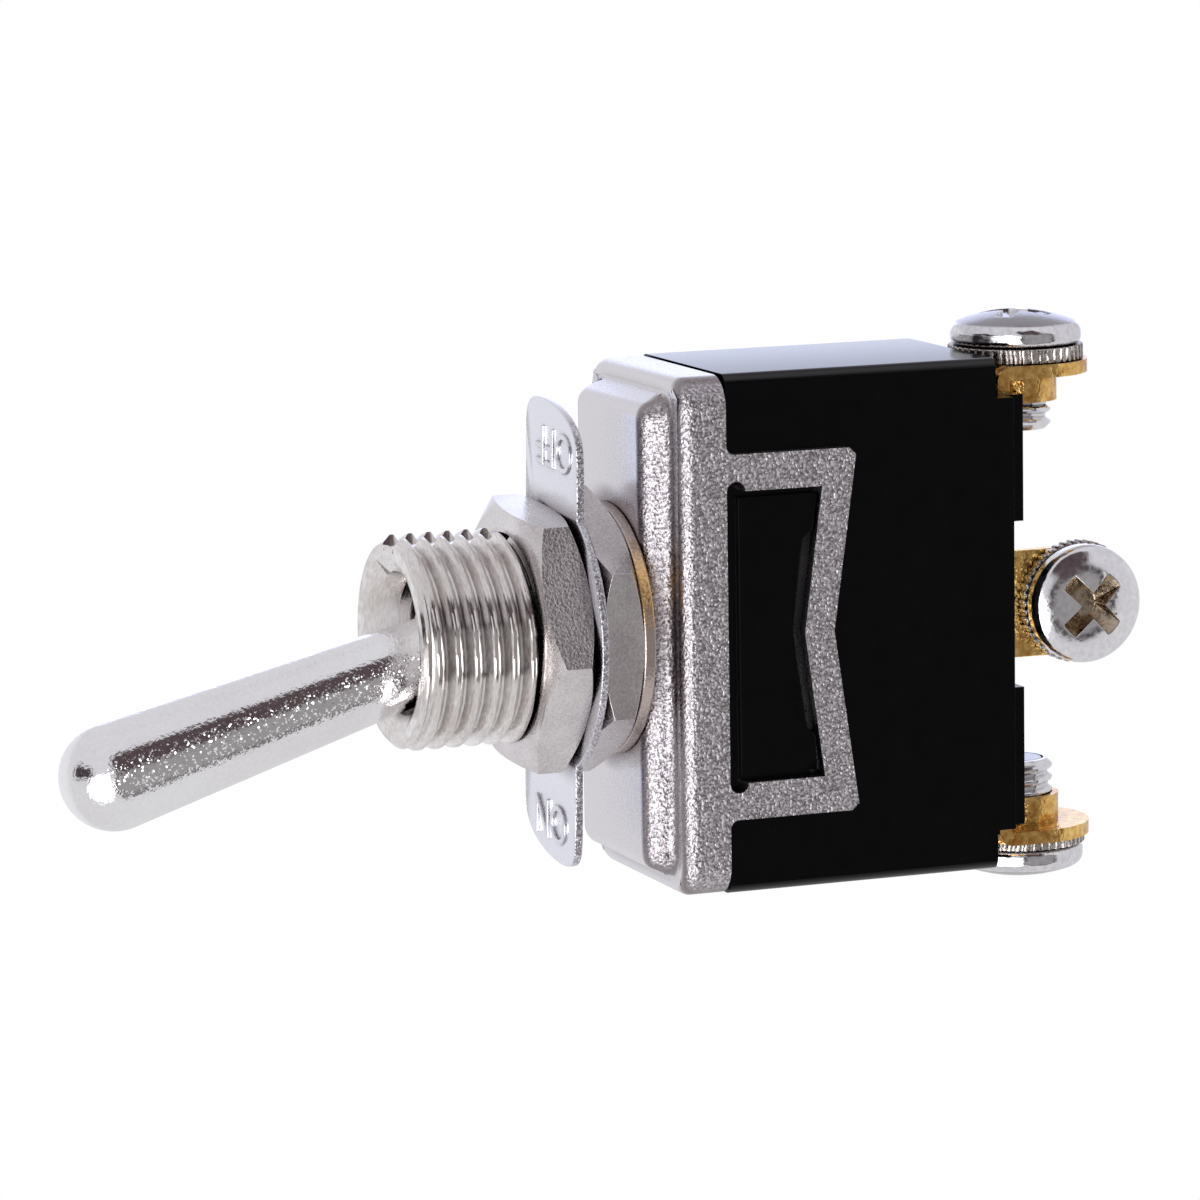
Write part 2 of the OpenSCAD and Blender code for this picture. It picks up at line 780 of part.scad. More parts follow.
// An external-tooth lock washer along Z, on z = 0
module toothed_washer(thread_r, head_r, t) {
    rim = head_r + tooth_out;
    difference() {
        union() {
            translate([0, 0, 0.3 * t])
                cylinder(h = 0.4 * t, r = rim - 0.25);
            intersection() {
                cylinder(h = t, r = rim);
                for (i = [0 : teeth - 1]) rotate([0, 0, i * 360 / teeth])
                    translate([rim - 1.1, -0.32, 0])
                        cube([1.2, 0.64, t]);
            }
        }
        translate([0, 0, -1]) cylinder(h = t + 2, r = thread_r + 0.1);
    }
}

module end_screws() {
    color([0.80, 0.80, 0.82]) for (i = [0, 1]) mirror([0, 0, i])
        translate([0, end_screw_y, end_face_z + end_washer_t[i]])
            cross_screw(end_thread_r, end_head_r, end_screw_len);
}

module end_washers() {
    color([0.74, 0.74, 0.75]) for (i = [0, 1]) mirror([0, 0, i])
        translate([0, end_screw_y, end_face_z])
            toothed_washer(end_thread_r, end_head_r, end_washer_t[i]);
}

module common_screw() {
    color([0.80, 0.80, 0.82])
        translate([mid_face_x + tooth_t, mid_screw_y, mid_z])
            rotate([0, 90, 0])
                cross_screw(mid_thread_r, mid_head_r, mid_screw_len);
}

module common_washer() {
    color([0.74, 0.74, 0.75])
        translate([mid_face_x, mid_screw_y, mid_z]) rotate([0, 90, 0])
            toothed_washer(mid_thread_r, mid_head_r, tooth_t);
}

cover();
casing();
insulator();
bushing();
retaining_ring();
front_nut();
indicator_plate();
rear_nut();
brass_washer();
lever();
pivot_pin();
plunger();
plunger_spring();
rocker();
moving_contacts();
fixed_contacts();
upper_terminal();
lower_terminal();
common_terminal();
end_screws();
common_screw();
end_washers();
common_washer();
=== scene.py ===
"""Looks of a panel toggle switch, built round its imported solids.

Axes: -Y is the front (bushing and lever), +Z the long way of the casing,
+X one of the wide sides, which carry the cover's loops. Lengths in this
file are millimetres and become metres where a mesh is made.
"""

import logging
import math
from dataclasses import dataclass, field
from enum import Enum
from typing import Any, Callable, Optional, Sequence

import bmesh
import bpy
import numpy as np
from mathutils import Matrix, Vector

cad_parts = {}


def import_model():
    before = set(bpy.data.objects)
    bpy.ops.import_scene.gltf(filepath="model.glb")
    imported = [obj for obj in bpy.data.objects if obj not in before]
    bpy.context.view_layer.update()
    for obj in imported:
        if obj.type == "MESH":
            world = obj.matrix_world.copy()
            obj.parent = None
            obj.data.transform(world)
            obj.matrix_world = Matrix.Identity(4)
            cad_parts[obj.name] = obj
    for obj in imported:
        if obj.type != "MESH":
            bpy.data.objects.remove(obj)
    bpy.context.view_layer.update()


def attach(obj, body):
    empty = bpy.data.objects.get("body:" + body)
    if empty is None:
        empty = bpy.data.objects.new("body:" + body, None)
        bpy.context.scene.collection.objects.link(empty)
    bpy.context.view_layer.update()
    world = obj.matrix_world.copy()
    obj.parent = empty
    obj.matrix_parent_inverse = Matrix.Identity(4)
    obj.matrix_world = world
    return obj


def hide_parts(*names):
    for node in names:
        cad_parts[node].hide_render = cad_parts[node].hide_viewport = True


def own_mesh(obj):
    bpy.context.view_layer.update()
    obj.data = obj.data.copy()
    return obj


Array = np.ndarray
Color = tuple[float, float, float]
Material = bpy.types.Material
Mesh = bpy.types.Mesh
Object = bpy.types.Object
Socket = bpy.types.NodeSocket
Triple = tuple[float, float, float]
Weigh = Callable[[Array, Array], Array]

LOG = logging.getLogger("toggle_switch")
MM = 0.001
TINY = 1e-6
SHARP_EDGE = 34.0  # degrees from which an edge counts as sharp
SHARP_SOLID = 30.0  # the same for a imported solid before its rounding
FLAT_JOINT = 0.6  # degrees up to which two faces count as one
MID_NOISE = (0.3, 0.7)  # where most of a noise's values lie


class Body(Enum):
    """Rigid bodies that the new pieces ride on."""

    HOUSING = "housing"
    LEVER = "lever"


class Grain(Enum):
    """How a metal's surface was worked: its grain's waves per axis."""

    EVEN = (1.0, 1.0, 1.0)
    TURNED = (0.25, 1.6, 0.25)


class Seat(Enum):
    """Which terminal a piece belongs to; the ends give the sign of Z."""

    UPPER = 1
    MIDDLE = 0
    LOWER = -1


# ---- node trees


class Tree:
    """Adds and links the nodes of one material or world."""

    def __init__(self, tree: bpy.types.NodeTree) -> None:
        """Keeps the tree, emptied but for its coordinates."""
        self.tree = tree
        tree.nodes.clear()
        self.coords = self.add("ShaderNodeTexCoord").outputs

    def add(self, kind: str, **sockets: object) -> bpy.types.Node:
        """Adds a node and fills its inputs.

        Args:
            kind: the node's type name.
            sockets: input name (underscores for spaces), "i" and a number
                for an input by its place, or "p_" and a property of the
                node, which comes before the inputs, and what it gets: a
                value or the socket linked to it.

        Returns:
            The new node.
        """
        node = self.tree.nodes.new(kind)
        for key, value in sockets.items():
            if key.startswith("p_"):
                setattr(node, key[2:], value)
                continue
            numbered = key[0] == "i" and key[1:].isdigit()
            at = int(key[1:]) if numbered else key.replace("_", " ")
            if isinstance(value, Socket):
                self.tree.links.new(value, node.inputs[at])
            else:
                node.inputs[at].default_value = value
        return node

    def noise(
        self, vector: Socket, scale: float, detail: float = 2.0
    ) -> Socket:
        """Noise from 0 to 1 at so many waves per metre."""
        return self.add(
            "ShaderNodeTexNoise", Vector=vector, Scale=scale, Detail=detail
        ).outputs["Fac"]

    def span(
        self, value: Socket, low: float, high: float, to_low: float = 0.0,
        to_high: float = 1.0, smooth: bool = False,
    ) -> Socket:
        """Maps low..high to to_low..to_high, clamped, smoothly if asked."""
        return self.add(
            "ShaderNodeMapRange",
            p_interpolation_type="SMOOTHSTEP" if smooth else "LINEAR",
            Value=value, From_Min=low, From_Max=high,
            To_Min=to_low, To_Max=to_high,
        ).outputs["Result"]

    def math(self, how: str, a: object, b: object = 0.0) -> Socket:
        """One step of arithmetic on two values."""
        return self.add(
            "ShaderNodeMath", p_operation=how, i0=a, i1=b
        ).outputs["Value"]

    def vector(self, how: str, **sockets: object) -> Socket:
        """One step of arithmetic on vectors."""
        return self.add(
            "ShaderNodeVectorMath", p_operation=how, **sockets
        ).outputs["Value" if how == "DOT_PRODUCT" else "Vector"]

    def part(self, vector: Socket, axis: str) -> Socket:
        """One coordinate of a vector."""
        return self.add("ShaderNodeSeparateXYZ", Vector=vector).outputs[axis]

    def slant(self, axis: str) -> Socket:
        """How far the surface faces along an axis, either way."""
        return self.math("ABSOLUTE", self.part(self.coords["Normal"], axis))

    def blend(self, share: object, a: object, b: object) -> Socket:
        """Mixes colour a into colour b by share."""
        return self.add(
            "ShaderNodeMix", p_data_type="RGBA", i0=share, i6=a, i7=b
        ).outputs[2]

    def crevices(
        self, color: object, crevice_shade: Sequence[float], reach: float,
        shut: float = 0.12, clear: float = 0.66,
    ) -> Socket:
        """Paints shade into a colour where other surfaces crowd round it.

        Args:
            color: the colour without the painted shade.
            crevice_shade: the painted shade colour deep in a crevice.
            reach: how far off a surface still counts, mm.
            shut: open share at which the painted shade is full.
            clear: open share from which there is none.

        Returns:
            The mixed colour.
        """
        open_share = self.add(
            "ShaderNodeAmbientOcclusion", p_samples=6, Distance=reach * MM
        ).outputs["AO"]
        # Painted shade: occluded spots take the dark colour.
        return self.blend(
            self.span(open_share, shut, clear), rgba(crevice_shade), color
        )

    def bump(
        self, strength: object, depth: float, height: Socket,
        **under: Socket,
    ) -> Socket:
        """The normal of a bump of so many mm by a height from 0 to 1, laid
        over the one under it, if given as Normal."""
        return self.add(
            "ShaderNodeBump", Strength=strength, Distance=depth * MM,
            Height=height, **under,
        ).outputs["Normal"]

    def metal(self, color: Socket, rough: Socket, normal: Socket) -> None:
        """Ends the tree in a metal's surface."""
        self.surface(self.add(
            "ShaderNodeBsdfPrincipled", Base_Color=color, Metallic=1.0,
            Roughness=rough, Normal=normal,
        ).outputs["BSDF"])

    def surface(self, shader: Socket) -> None:
        """Ends a material's tree."""
        self.add("ShaderNodeOutputMaterial", Surface=shader)


def rgba(color: Sequence[float]) -> tuple[float, float, float, float]:
    """A colour with full cover."""
    return (color[0], color[1], color[2], 1.0)


# ---- finishes


@dataclass(frozen=True)
class Finish:
    """What every finish has.

    Attributes:
        name: the material's name.
    """

    name: str

    def build(self) -> Material:
        """Makes the finish's material."""
        material = bpy.data.materials.new(self.name)
        material.use_nodes = True
        tree = Tree(material.node_tree)
        self.paint(tree)
        return material

    def paint(self, tree: Tree) -> None:
        """Adds the finish's nodes to its tree."""
        raise NotImplementedError


@dataclass(frozen=True)
class MetalFinish(Finish):
    """A bare or plated metal.

    Attributes:
        light, deep: colours where it is polished and where it is less so.
        rough: lowest and highest roughness.
        grain_size, grain_depth: width and height of the grain, mm.
        grain: how the surface was worked.
        crown_shade: painted shade colour of what faces straight up or down, or
            None.
        crevice_shade, reach: painted shade colour deep in crevices, and their
            width, mm.
        flake: size of small facets that glint, mm, or 0 for none.
        flakes: share of the surface they take.
        flake_tilt: how far they lean, 1 being about 30 degrees.
        cloud: waves per metre of its slow tint.
    """

    light: Color
    deep: Color
    rough: tuple[float, float] = (0.12, 0.25)
    grain_size: float = 0.15
    grain_depth: float = 0.004
    grain: Grain = Grain.EVEN
    # Painted shade for faces that look up or down.
    crown_shade: Optional[Color] = None
    # Painted shade colour for crevices.
    crevice_shade: Color = (0.07, 0.055, 0.055)
    reach: float = 0.7
    flake: float = 0.0
    flakes: float = 0.2
    flake_tilt: float = 0.8
    cloud: float = 260.0

    def paint(self, tree: Tree) -> None:
        """Mixes the two tints by a slow noise and the grain's; the grain's
        noise also sets roughness and bump."""
        place = tree.coords["Object"]
        drawn = tree.add(
            "ShaderNodeMapping", Vector=place, Scale=self.grain.value
        ).outputs["Vector"]
        fine = tree.noise(drawn, 1.0 / (self.grain_size * MM), 3.0)
        slow = tree.noise(place, self.cloud, 2.0)
        share = tree.span(tree.math("ADD", fine, slow), 0.75, 1.25)
        color = tree.blend(share, rgba(self.deep), rgba(self.light))
        # Painted shade: faces that look straight up or down are darkened in
        # the colour.
        if self.crown_shade:
            up = tree.span(tree.slant("Z"), 0.80, 0.93)
            color = tree.blend(up, color, rgba(self.crown_shade))
        # Painted shade in crevices, found by ambient occlusion.
        color = tree.crevices(color, self.crevice_shade, self.reach)
        under = {"Normal": self.facets(tree)} if self.flake else {}
        tree.metal(color, tree.span(fine, *MID_NOISE, *self.rough),
                   tree.bump(0.6, self.grain_depth, fine, **under))

    def facets(self, tree: Tree) -> Socket:
        """Tilts a share of the small cells that face sideways, each its own
        way.

        Returns:
            The normal that lies under the grain's bump.
        """
        cells = tree.add(
            "ShaderNodeTexVoronoi", Vector=tree.coords["Object"],
            Scale=1 / (self.flake * MM),
        ).outputs["Color"]
        blue = tree.add("ShaderNodeSeparateColor", Color=cells).outputs["Blue"]
        sideways = tree.span(
            tree.slant("X"), 0.86, 0.93, 0.0, self.flake_tilt
        )
        lean = tree.math(
            "MULTIPLY", tree.math("LESS_THAN", blue, self.flakes), sideways
        )
        off = tree.vector("SUBTRACT", i0=cells, i1=(0.5, 0.5, 0.5))
        flat = tree.add("ShaderNodeNewGeometry").outputs["Normal"]
        turned = tree.vector(
            "ADD", i0=flat, i1=tree.vector("SCALE", i0=off, Scale=lean)
        )
        return tree.vector("NORMALIZE", i0=turned)


@dataclass(frozen=True)
class SparkleFinish(Finish):
    """Bright plate over sheet whose sides are coarsely grained.

    Attributes:
        light, deep: colours of the high and the low spots.
        grain_size: width of one grain, mm.
        grain_depth: height of the grain on the sides, mm.
        bend, bend_shade_share: painted shade colour where the front turns into
            a
        side, and how much of it shows.
        crevice_shade, reach: painted shade colour deep in crevices, and their
            width, mm.
        rough: lowest and highest roughness.
    """

    light: Color
    deep: Color
    grain_size: float
    grain_depth: float
    # Painted shade colour for the band where the front turns into a side.
    bend: Color = (0.16, 0.12, 0.13)
    bend_shade_share: float = 0.0
    # Painted shade colour for crevices.
    crevice_shade: Color = (0.25, 0.21, 0.225)
    reach: float = 1.2
    rough: tuple[float, float] = (0.18, 0.36)

    def paint(self, tree: Tree) -> None:
        """Lets the grain's height and tint grow with how far the surface
        faces sideways, so the front stays smooth."""
        place = tree.coords["Object"]
        across = tree.slant("X")
        side = tree.span(across, 0.25, 0.75, 0.05, 1.0)
        fine = tree.noise(place, 1.0 / (self.grain_size * MM), 2.0)
        coarse = tree.noise(place, 0.45 / (self.grain_size * MM), 1.0)
        height = tree.math("ADD", fine, tree.math("MULTIPLY", coarse, 0.6))
        spots = tree.span(fine, 0.42, 0.66)
        color = tree.blend(
            tree.math("MULTIPLY", side, 0.8), rgba(self.light),
            tree.blend(spots, rgba(self.deep), rgba(self.light)),
        )
        # Painted shade: a dark band in the colour where the front turns into a
        # side.
        bend_shade_mask = tree.math(
            "MULTIPLY", tree.span(across, 0.08, 0.28),
            tree.span(across, 0.50, 0.78, self.bend_shade_share, 0.0),
        )
        color = tree.blend(bend_shade_mask, color, rgba(self.bend))
        # Painted shade in crevices, found by ambient occlusion.
        color = tree.crevices(color, self.crevice_shade, self.reach, 0.40, 0.92)
        tree.metal(color, tree.span(fine, *MID_NOISE, *self.rough),
                   tree.bump(side, self.grain_depth, height))


@dataclass(frozen=True)
class GiltFinish(Finish):
    """A washer's pale edge with a painted gilt reflection in one stretch of
    height.

    Attributes:
        pale, gilt_reflection: its pale colour, and that of the painted gilt
            reflection.
        low, high: heights between which the painted reflection lies, mm.
        soft: half the height over which the colours change, mm.
        ragged: how far the grain shifts that change, mm.
        waves: waves of the grain per metre.
        grain_depth: height of the grain, mm.
    """

    pale: Color
    # Painted reflection: the bright gilt colour of one stretch.
    gilt_reflection: Color
    low: float = 1.6
    high: float = 4.8
    soft: float = 1.0
    ragged: float = 1.1
    waves: float = 5200.0
    grain_depth: float = 0.03

    def paint(self, tree: Tree) -> None:
        """Lets the two colours change over with height, broken up by the
        grain's noise."""
        place = tree.coords["Object"]
        fine = tree.noise(place, self.waves, 2.0)
        shift = self.ragged * MM
        height = tree.math(
            "ADD", tree.part(place, "Z"),
            tree.span(fine, 0.0, 1.0, -shift, shift),
        )
        inside = tree.math("MULTIPLY", *(
            tree.span(height, (edge - self.soft) * MM,
                      (edge + self.soft) * MM, *ends)
            for edge, ends in ((self.low, (0.0, 1.0)), (self.high, (1.0, 0.0)))
        ))
        # Painted reflection: the gilt is laid in by height.
        color = tree.blend(inside, rgba(self.pale), rgba(self.gilt_reflection))
        # Painted shade: the washer's crevices are darkened in the colour.
        color = tree.crevices(color, (0.06, 0.035, 0.025), 0.9)
        tree.metal(color, tree.span(fine, *MID_NOISE, 0.2, 0.34),
                   tree.bump(0.8, self.grain_depth, fine))


@dataclass(frozen=True)
class MouldedFinish(Finish):
    """A moulded plastic or fibre.

    Attributes:
        color, fleck: its colour and that of its faint clouds.
        rough: lowest and highest roughness.
        grain_size, grain_depth: width and height of its ripple, mm.
        specular: strength of its flat faces' reflection seen head on.
        edge_specular: the same on the rounded edges.
    """

    color: Color
    fleck: Color
    rough: tuple[float, float]
    grain_size: float = 0.5
    grain_depth: float = 0.004
    specular: float = 0.5
    edge_specular: float = 0.5

    def paint(self, tree: Tree) -> None:
        """Clouds the colour, ripples the surface, dusts its roughness and
        lets the rounded edges reflect more than the flat faces."""
        place = tree.coords["Object"]
        ripple = tree.noise(place, 1.0 / (self.grain_size * MM), 3.0)
        dust = tree.noise(place, 9000.0, 2.0)
        across, along, up = map(tree.slant, "XYZ")
        most = tree.math("MAXIMUM", tree.math("MAXIMUM", across, along), up)
        shader = tree.add(
            "ShaderNodeBsdfPrincipled", IOR=1.5,
            Base_Color=tree.blend(
                tree.span(ripple, 0.3, 0.75), rgba(self.color),
                rgba(self.fleck),
            ),
            Roughness=tree.span(dust, 0.3, 0.8, *self.rough),
            Normal=tree.bump(0.5, self.grain_depth, ripple),
            Specular_IOR_Level=tree.span(
                most, 0.80, 0.98, self.edge_specular, self.specular
            ),
        )
        tree.surface(shader.outputs["BSDF"])


@dataclass(frozen=True)
class FloorFinish(Finish):
    """Pale and matt from above, clear from underneath."""

    def paint(self, tree: Tree) -> None:
        """Clouds the matt side faintly."""
        color = tree.blend(
            tree.noise(tree.coords["Object"], 12.0),
            rgba((0.93, 0.93, 0.93)), rgba((0.96, 0.96, 0.96)),
        )
        matt = tree.add("ShaderNodeBsdfDiffuse", Color=color)
        clear = tree.add("ShaderNodeBsdfTransparent")
        under = tree.add("ShaderNodeNewGeometry").outputs["Backfacing"]
        tree.surface(tree.add(
            "ShaderNodeMixShader", Fac=under, i1=matt.outputs["BSDF"],
            i2=clear.outputs["BSDF"],
        ).outputs["Shader"])


def made(finish: Finish) -> Any:
    """A field for a finish's material, which is made with the fields'
    owner."""
    return field(default_factory=finish.build)


@dataclass
class Finishes:
    """Every finish on the switch, made once."""

    # Painted shade along the bend from front to side, and in crevices.
    cover: Material = made(SparkleFinish(
        "grained_plate", (0.76, 0.74, 0.76), (0.20, 0.17, 0.19),
        0.17, 0.10, bend_shade_share=0.66,
    ))
    casing: Material = made(MouldedFinish(
        "black_phenolic", (0.0006, 0.0006, 0.0010),
        (0.0014, 0.0013, 0.0020), (0.08, 0.17), 1.2, 0.004, 0.12,
    ))
    fibre: Material = made(MouldedFinish(
        "grey_fibre", (0.34, 0.31, 0.27), (0.24, 0.22, 0.20), (0.6, 0.8),
    ))
    bushing: Material = made(MetalFinish(
        "turned_plate", (0.90, 0.88, 0.87), (0.66, 0.61, 0.58),
        (0.10, 0.24), 0.12, 0.006, Grain.TURNED,
    ))
    nut: Material = made(MetalFinish(
        "nut_plate", (0.82, 0.79, 0.79), (0.58, 0.54, 0.54),
        (0.16, 0.30), 0.16, 0.030,
    ))
    plate: Material = made(SparkleFinish(
        "satin_plate", (0.86, 0.87, 0.93), (0.30, 0.26, 0.28), 0.15, 0.06,
    ))
    raised: Material = made(MetalFinish(
        "raised_letters", (0.88, 0.88, 0.93), (0.70, 0.70, 0.76),
        (0.20, 0.32), 0.12, 0.010,
    ))
    lever: Material = made(MetalFinish(
        "polished_chrome", (0.93, 0.93, 0.94), (0.86, 0.85, 0.86),
        (0.05, 0.12), 0.22, 0.036, flake=0.09,
    ))
    screw: Material = made(MetalFinish(
        "screw_plate", (0.90, 0.90, 0.92), (0.74, 0.73, 0.76),
        (0.08, 0.18), 0.30, 0.010,
    ))
    recess: Material = made(MetalFinish(
        "recess_plate", (0.62, 0.52, 0.40), (0.26, 0.20, 0.15),
        (0.16, 0.34), 0.28, 0.050,
    ))
    # Painted shade on the heads' faces that look up or down.
    end_screw: Material = made(MetalFinish(
        "end_screw_plate", (0.88, 0.88, 0.90), (0.66, 0.65, 0.68),
        (0.08, 0.20), 0.30, 0.016, crown_shade=(0.30, 0.29, 0.32),
    ))
    washer: Material = made(MetalFinish(
        "washer_plate", (0.78, 0.74, 0.71), (0.30, 0.26, 0.24),
        (0.18, 0.36), 0.16, 0.030,
    ))
    # Brass gets a warm painted shade in its crevices.
    brass: Material = made(MetalFinish(
        "stamped_brass", (1.0, 0.70, 0.24), (0.50, 0.21, 0.04),
        (0.08, 0.20), 0.42, 0.150,
        crevice_shade=(0.09, 0.04, 0.008), reach=1.5,
    ))
    # Its gilt stretch is a painted reflection.
    gold_ring: Material = made(GiltFinish(
        "brass_ring", (0.56, 0.48, 0.45), (0.90, 0.58, 0.26),
    ))
    copper: Material = made(MetalFinish(
        "formed_copper", (0.86, 0.48, 0.28), (0.62, 0.30, 0.16),
    ))
    silver: Material = made(MetalFinish(
        "contact_silver", (0.92, 0.91, 0.88), (0.70, 0.68, 0.64),
    ))
    steel: Material = made(MetalFinish(
        "plain_steel", (0.62, 0.62, 0.64), (0.46, 0.46, 0.48),
    ))
    nylon: Material = made(MouldedFinish(
        "cream_nylon", (0.82, 0.78, 0.68), (0.74, 0.70, 0.60), (0.35, 0.5),
    ))


# ---- mesh makers


def place(name: str, data: bpy.types.ID) -> Object:
    """Puts an object with this data in the scene, at the origin."""
    obj = bpy.data.objects.new(name, data)
    bpy.context.scene.collection.objects.link(obj)
    return obj


def vectors(items: bpy.types.bpy_prop_collection, what: str) -> Array:
    """One vector of each point or face of a mesh, n x 3."""
    flat = np.zeros(len(items) * 3)
    items.foreach_get(what, flat)
    return flat.reshape(-1, 3)


def round_angles(count: int) -> Array:
    """So many angles evenly round a circle, radians."""
    return np.linspace(0.0, 2.0 * math.pi, count, endpoint=False)


def grid_mesh(
    name: str, points: Array, loop: bool = False, caps: bool = False
) -> Object:
    """Makes a mesh from rings of points.

    Neighbouring rings join into quads all the way round; a loop joins the
    last ring to the first, and caps close the two end rings with one face
    each.

    Args:
        name: the object's name.
        points: array of rings x points of a ring x 3, millimetres.
        loop: whether the last ring joins the first.
        caps: whether the first and last rings are closed.

    Returns:
        The new object, at the origin.
    """
    rows, cols = points.shape[:2]
    index = np.arange(rows * cols).reshape(rows, cols)
    a = index if loop else index[:-1]
    b = np.roll(index, -1, 0) if loop else index[1:]
    quads = np.stack([a, np.roll(a, -1, 1), np.roll(b, -1, 1), b], -1)
    faces = quads.reshape(-1, 4).tolist()
    if caps:
        faces += [index[0][::-1].tolist(), index[-1].tolist()]
    mesh = bpy.data.meshes.new(name)
    mesh.from_pydata((points.reshape(-1, 3) * MM).tolist(), [], faces)
    return adopt(name, mesh)


def adopt(name: str, mesh: Mesh) -> Object:
    """Puts a mesh in the scene with its faces pointing out, smooth but for
    its sharp edges."""
    work = bmesh.new()
    work.from_mesh(mesh)
    bmesh.ops.recalc_face_normals(work, faces=work.faces)
    work.to_mesh(mesh)
    work.free()
    mesh.update()
    obj = place(name, mesh)
    shade(mesh, SHARP_EDGE)
    return obj


def shade(mesh: Mesh, degrees: float) -> None:
    """Smooth shading, with edges sharper than the angle kept sharp."""
    mesh.polygons.foreach_set("use_smooth", np.ones(len(mesh.polygons), bool))
    mesh.set_sharp_from_angle(angle=math.radians(degrees))


def merged_copy(node: str, name: str) -> Mesh:
    """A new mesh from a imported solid's, with its doubles merged and its
    flat triangles joined into whole faces."""
    mesh = bpy.data.objects[node].data.copy()
    mesh.name = name
    work = bmesh.new()
    work.from_mesh(mesh)
    bmesh.ops.remove_doubles(work, verts=work.verts, dist=2e-6)
    bmesh.ops.dissolve_limit(
        work, angle_limit=math.radians(FLAT_JOINT), verts=work.verts,
        edges=work.edges,
    )
    work.to_mesh(mesh)
    work.free()
    mesh.materials.clear()
    return mesh


def bevel(
    obj: Object, name: str, width: float, segments: int, limit: str
) -> bpy.types.Modifier:
    """Rounds an object's edges, by so many mm in so many steps."""
    modifier = obj.modifiers.new(name, "BEVEL")
    modifier.width = width * MM
    modifier.segments = segments
    modifier.limit_method = limit
    modifier.harden_normals = True
    return modifier


def softened(
    node: str, finish: Material, slot: str, edge: float,
    reshape: Optional[Callable[[Array], Array]] = None,
    full: float = 0.0,
    fullness: Optional[Weigh] = None,
) -> Object:
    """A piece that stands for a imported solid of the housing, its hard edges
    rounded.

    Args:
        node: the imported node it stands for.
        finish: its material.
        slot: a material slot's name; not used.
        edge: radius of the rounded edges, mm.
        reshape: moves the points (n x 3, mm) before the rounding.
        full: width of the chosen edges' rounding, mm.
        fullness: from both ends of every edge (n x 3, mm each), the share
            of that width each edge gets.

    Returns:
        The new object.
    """
    name = node + "_piece"
    mesh = merged_copy(node, name)
    if reshape is not None:
        moved = reshape(vectors(mesh.vertices, "co") / MM) * MM
        mesh.vertices.foreach_set("co", moved.ravel())
        mesh.update()
    obj = place(name, mesh)
    shade(mesh, SHARP_SOLID)
    if fullness is not None:
        weigh_edges(mesh, fullness)
        wide = bevel(obj, "full_edge", full, 6, "WEIGHT")
        wide.use_clamp_overlap = False
    thin = bevel(obj, "edge", edge, 3, "ANGLE")
    thin.angle_limit = math.radians(SHARP_EDGE)
    thin.use_clamp_overlap = True
    settle(obj, finish, slot, node)
    return obj


def weigh_edges(mesh: Mesh, fullness: Weigh) -> None:
    """Writes each edge's share of the wide rounding into the mesh."""
    points = vectors(mesh.vertices, "co") / MM
    ends = np.zeros(len(mesh.edges) * 2, int)
    mesh.edges.foreach_get("vertices", ends)
    ends = ends.reshape(-1, 2)
    share = fullness(points[ends[:, 0]], points[ends[:, 1]])
    weights = mesh.attributes.new("bevel_weight_edge", "FLOAT", "EDGE")
    weights.data.foreach_set("value", share.astype(np.float32))


def settle(
    obj: Object, finish: Material, slot: str, *nodes: str,
    body: Body = Body.HOUSING,
) -> None:
    """Gives a piece its finish, its body and the nodes it stands for."""
    obj.data.materials.clear()
    obj.data.materials.append(finish)
    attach(obj, body.value)
    if nodes:
        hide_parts(*nodes)
    LOG.info("%s: %d faces on %s", obj.name, len(obj.data.polygons),
             body.value)


def dress(node: str, finish: Material) -> None:
    """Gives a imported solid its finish."""
    materials = bpy.data.objects[node].data.materials
    materials.clear()
    materials.append(finish)
    LOG.info("%s: packed solid, %s", node, finish.name)


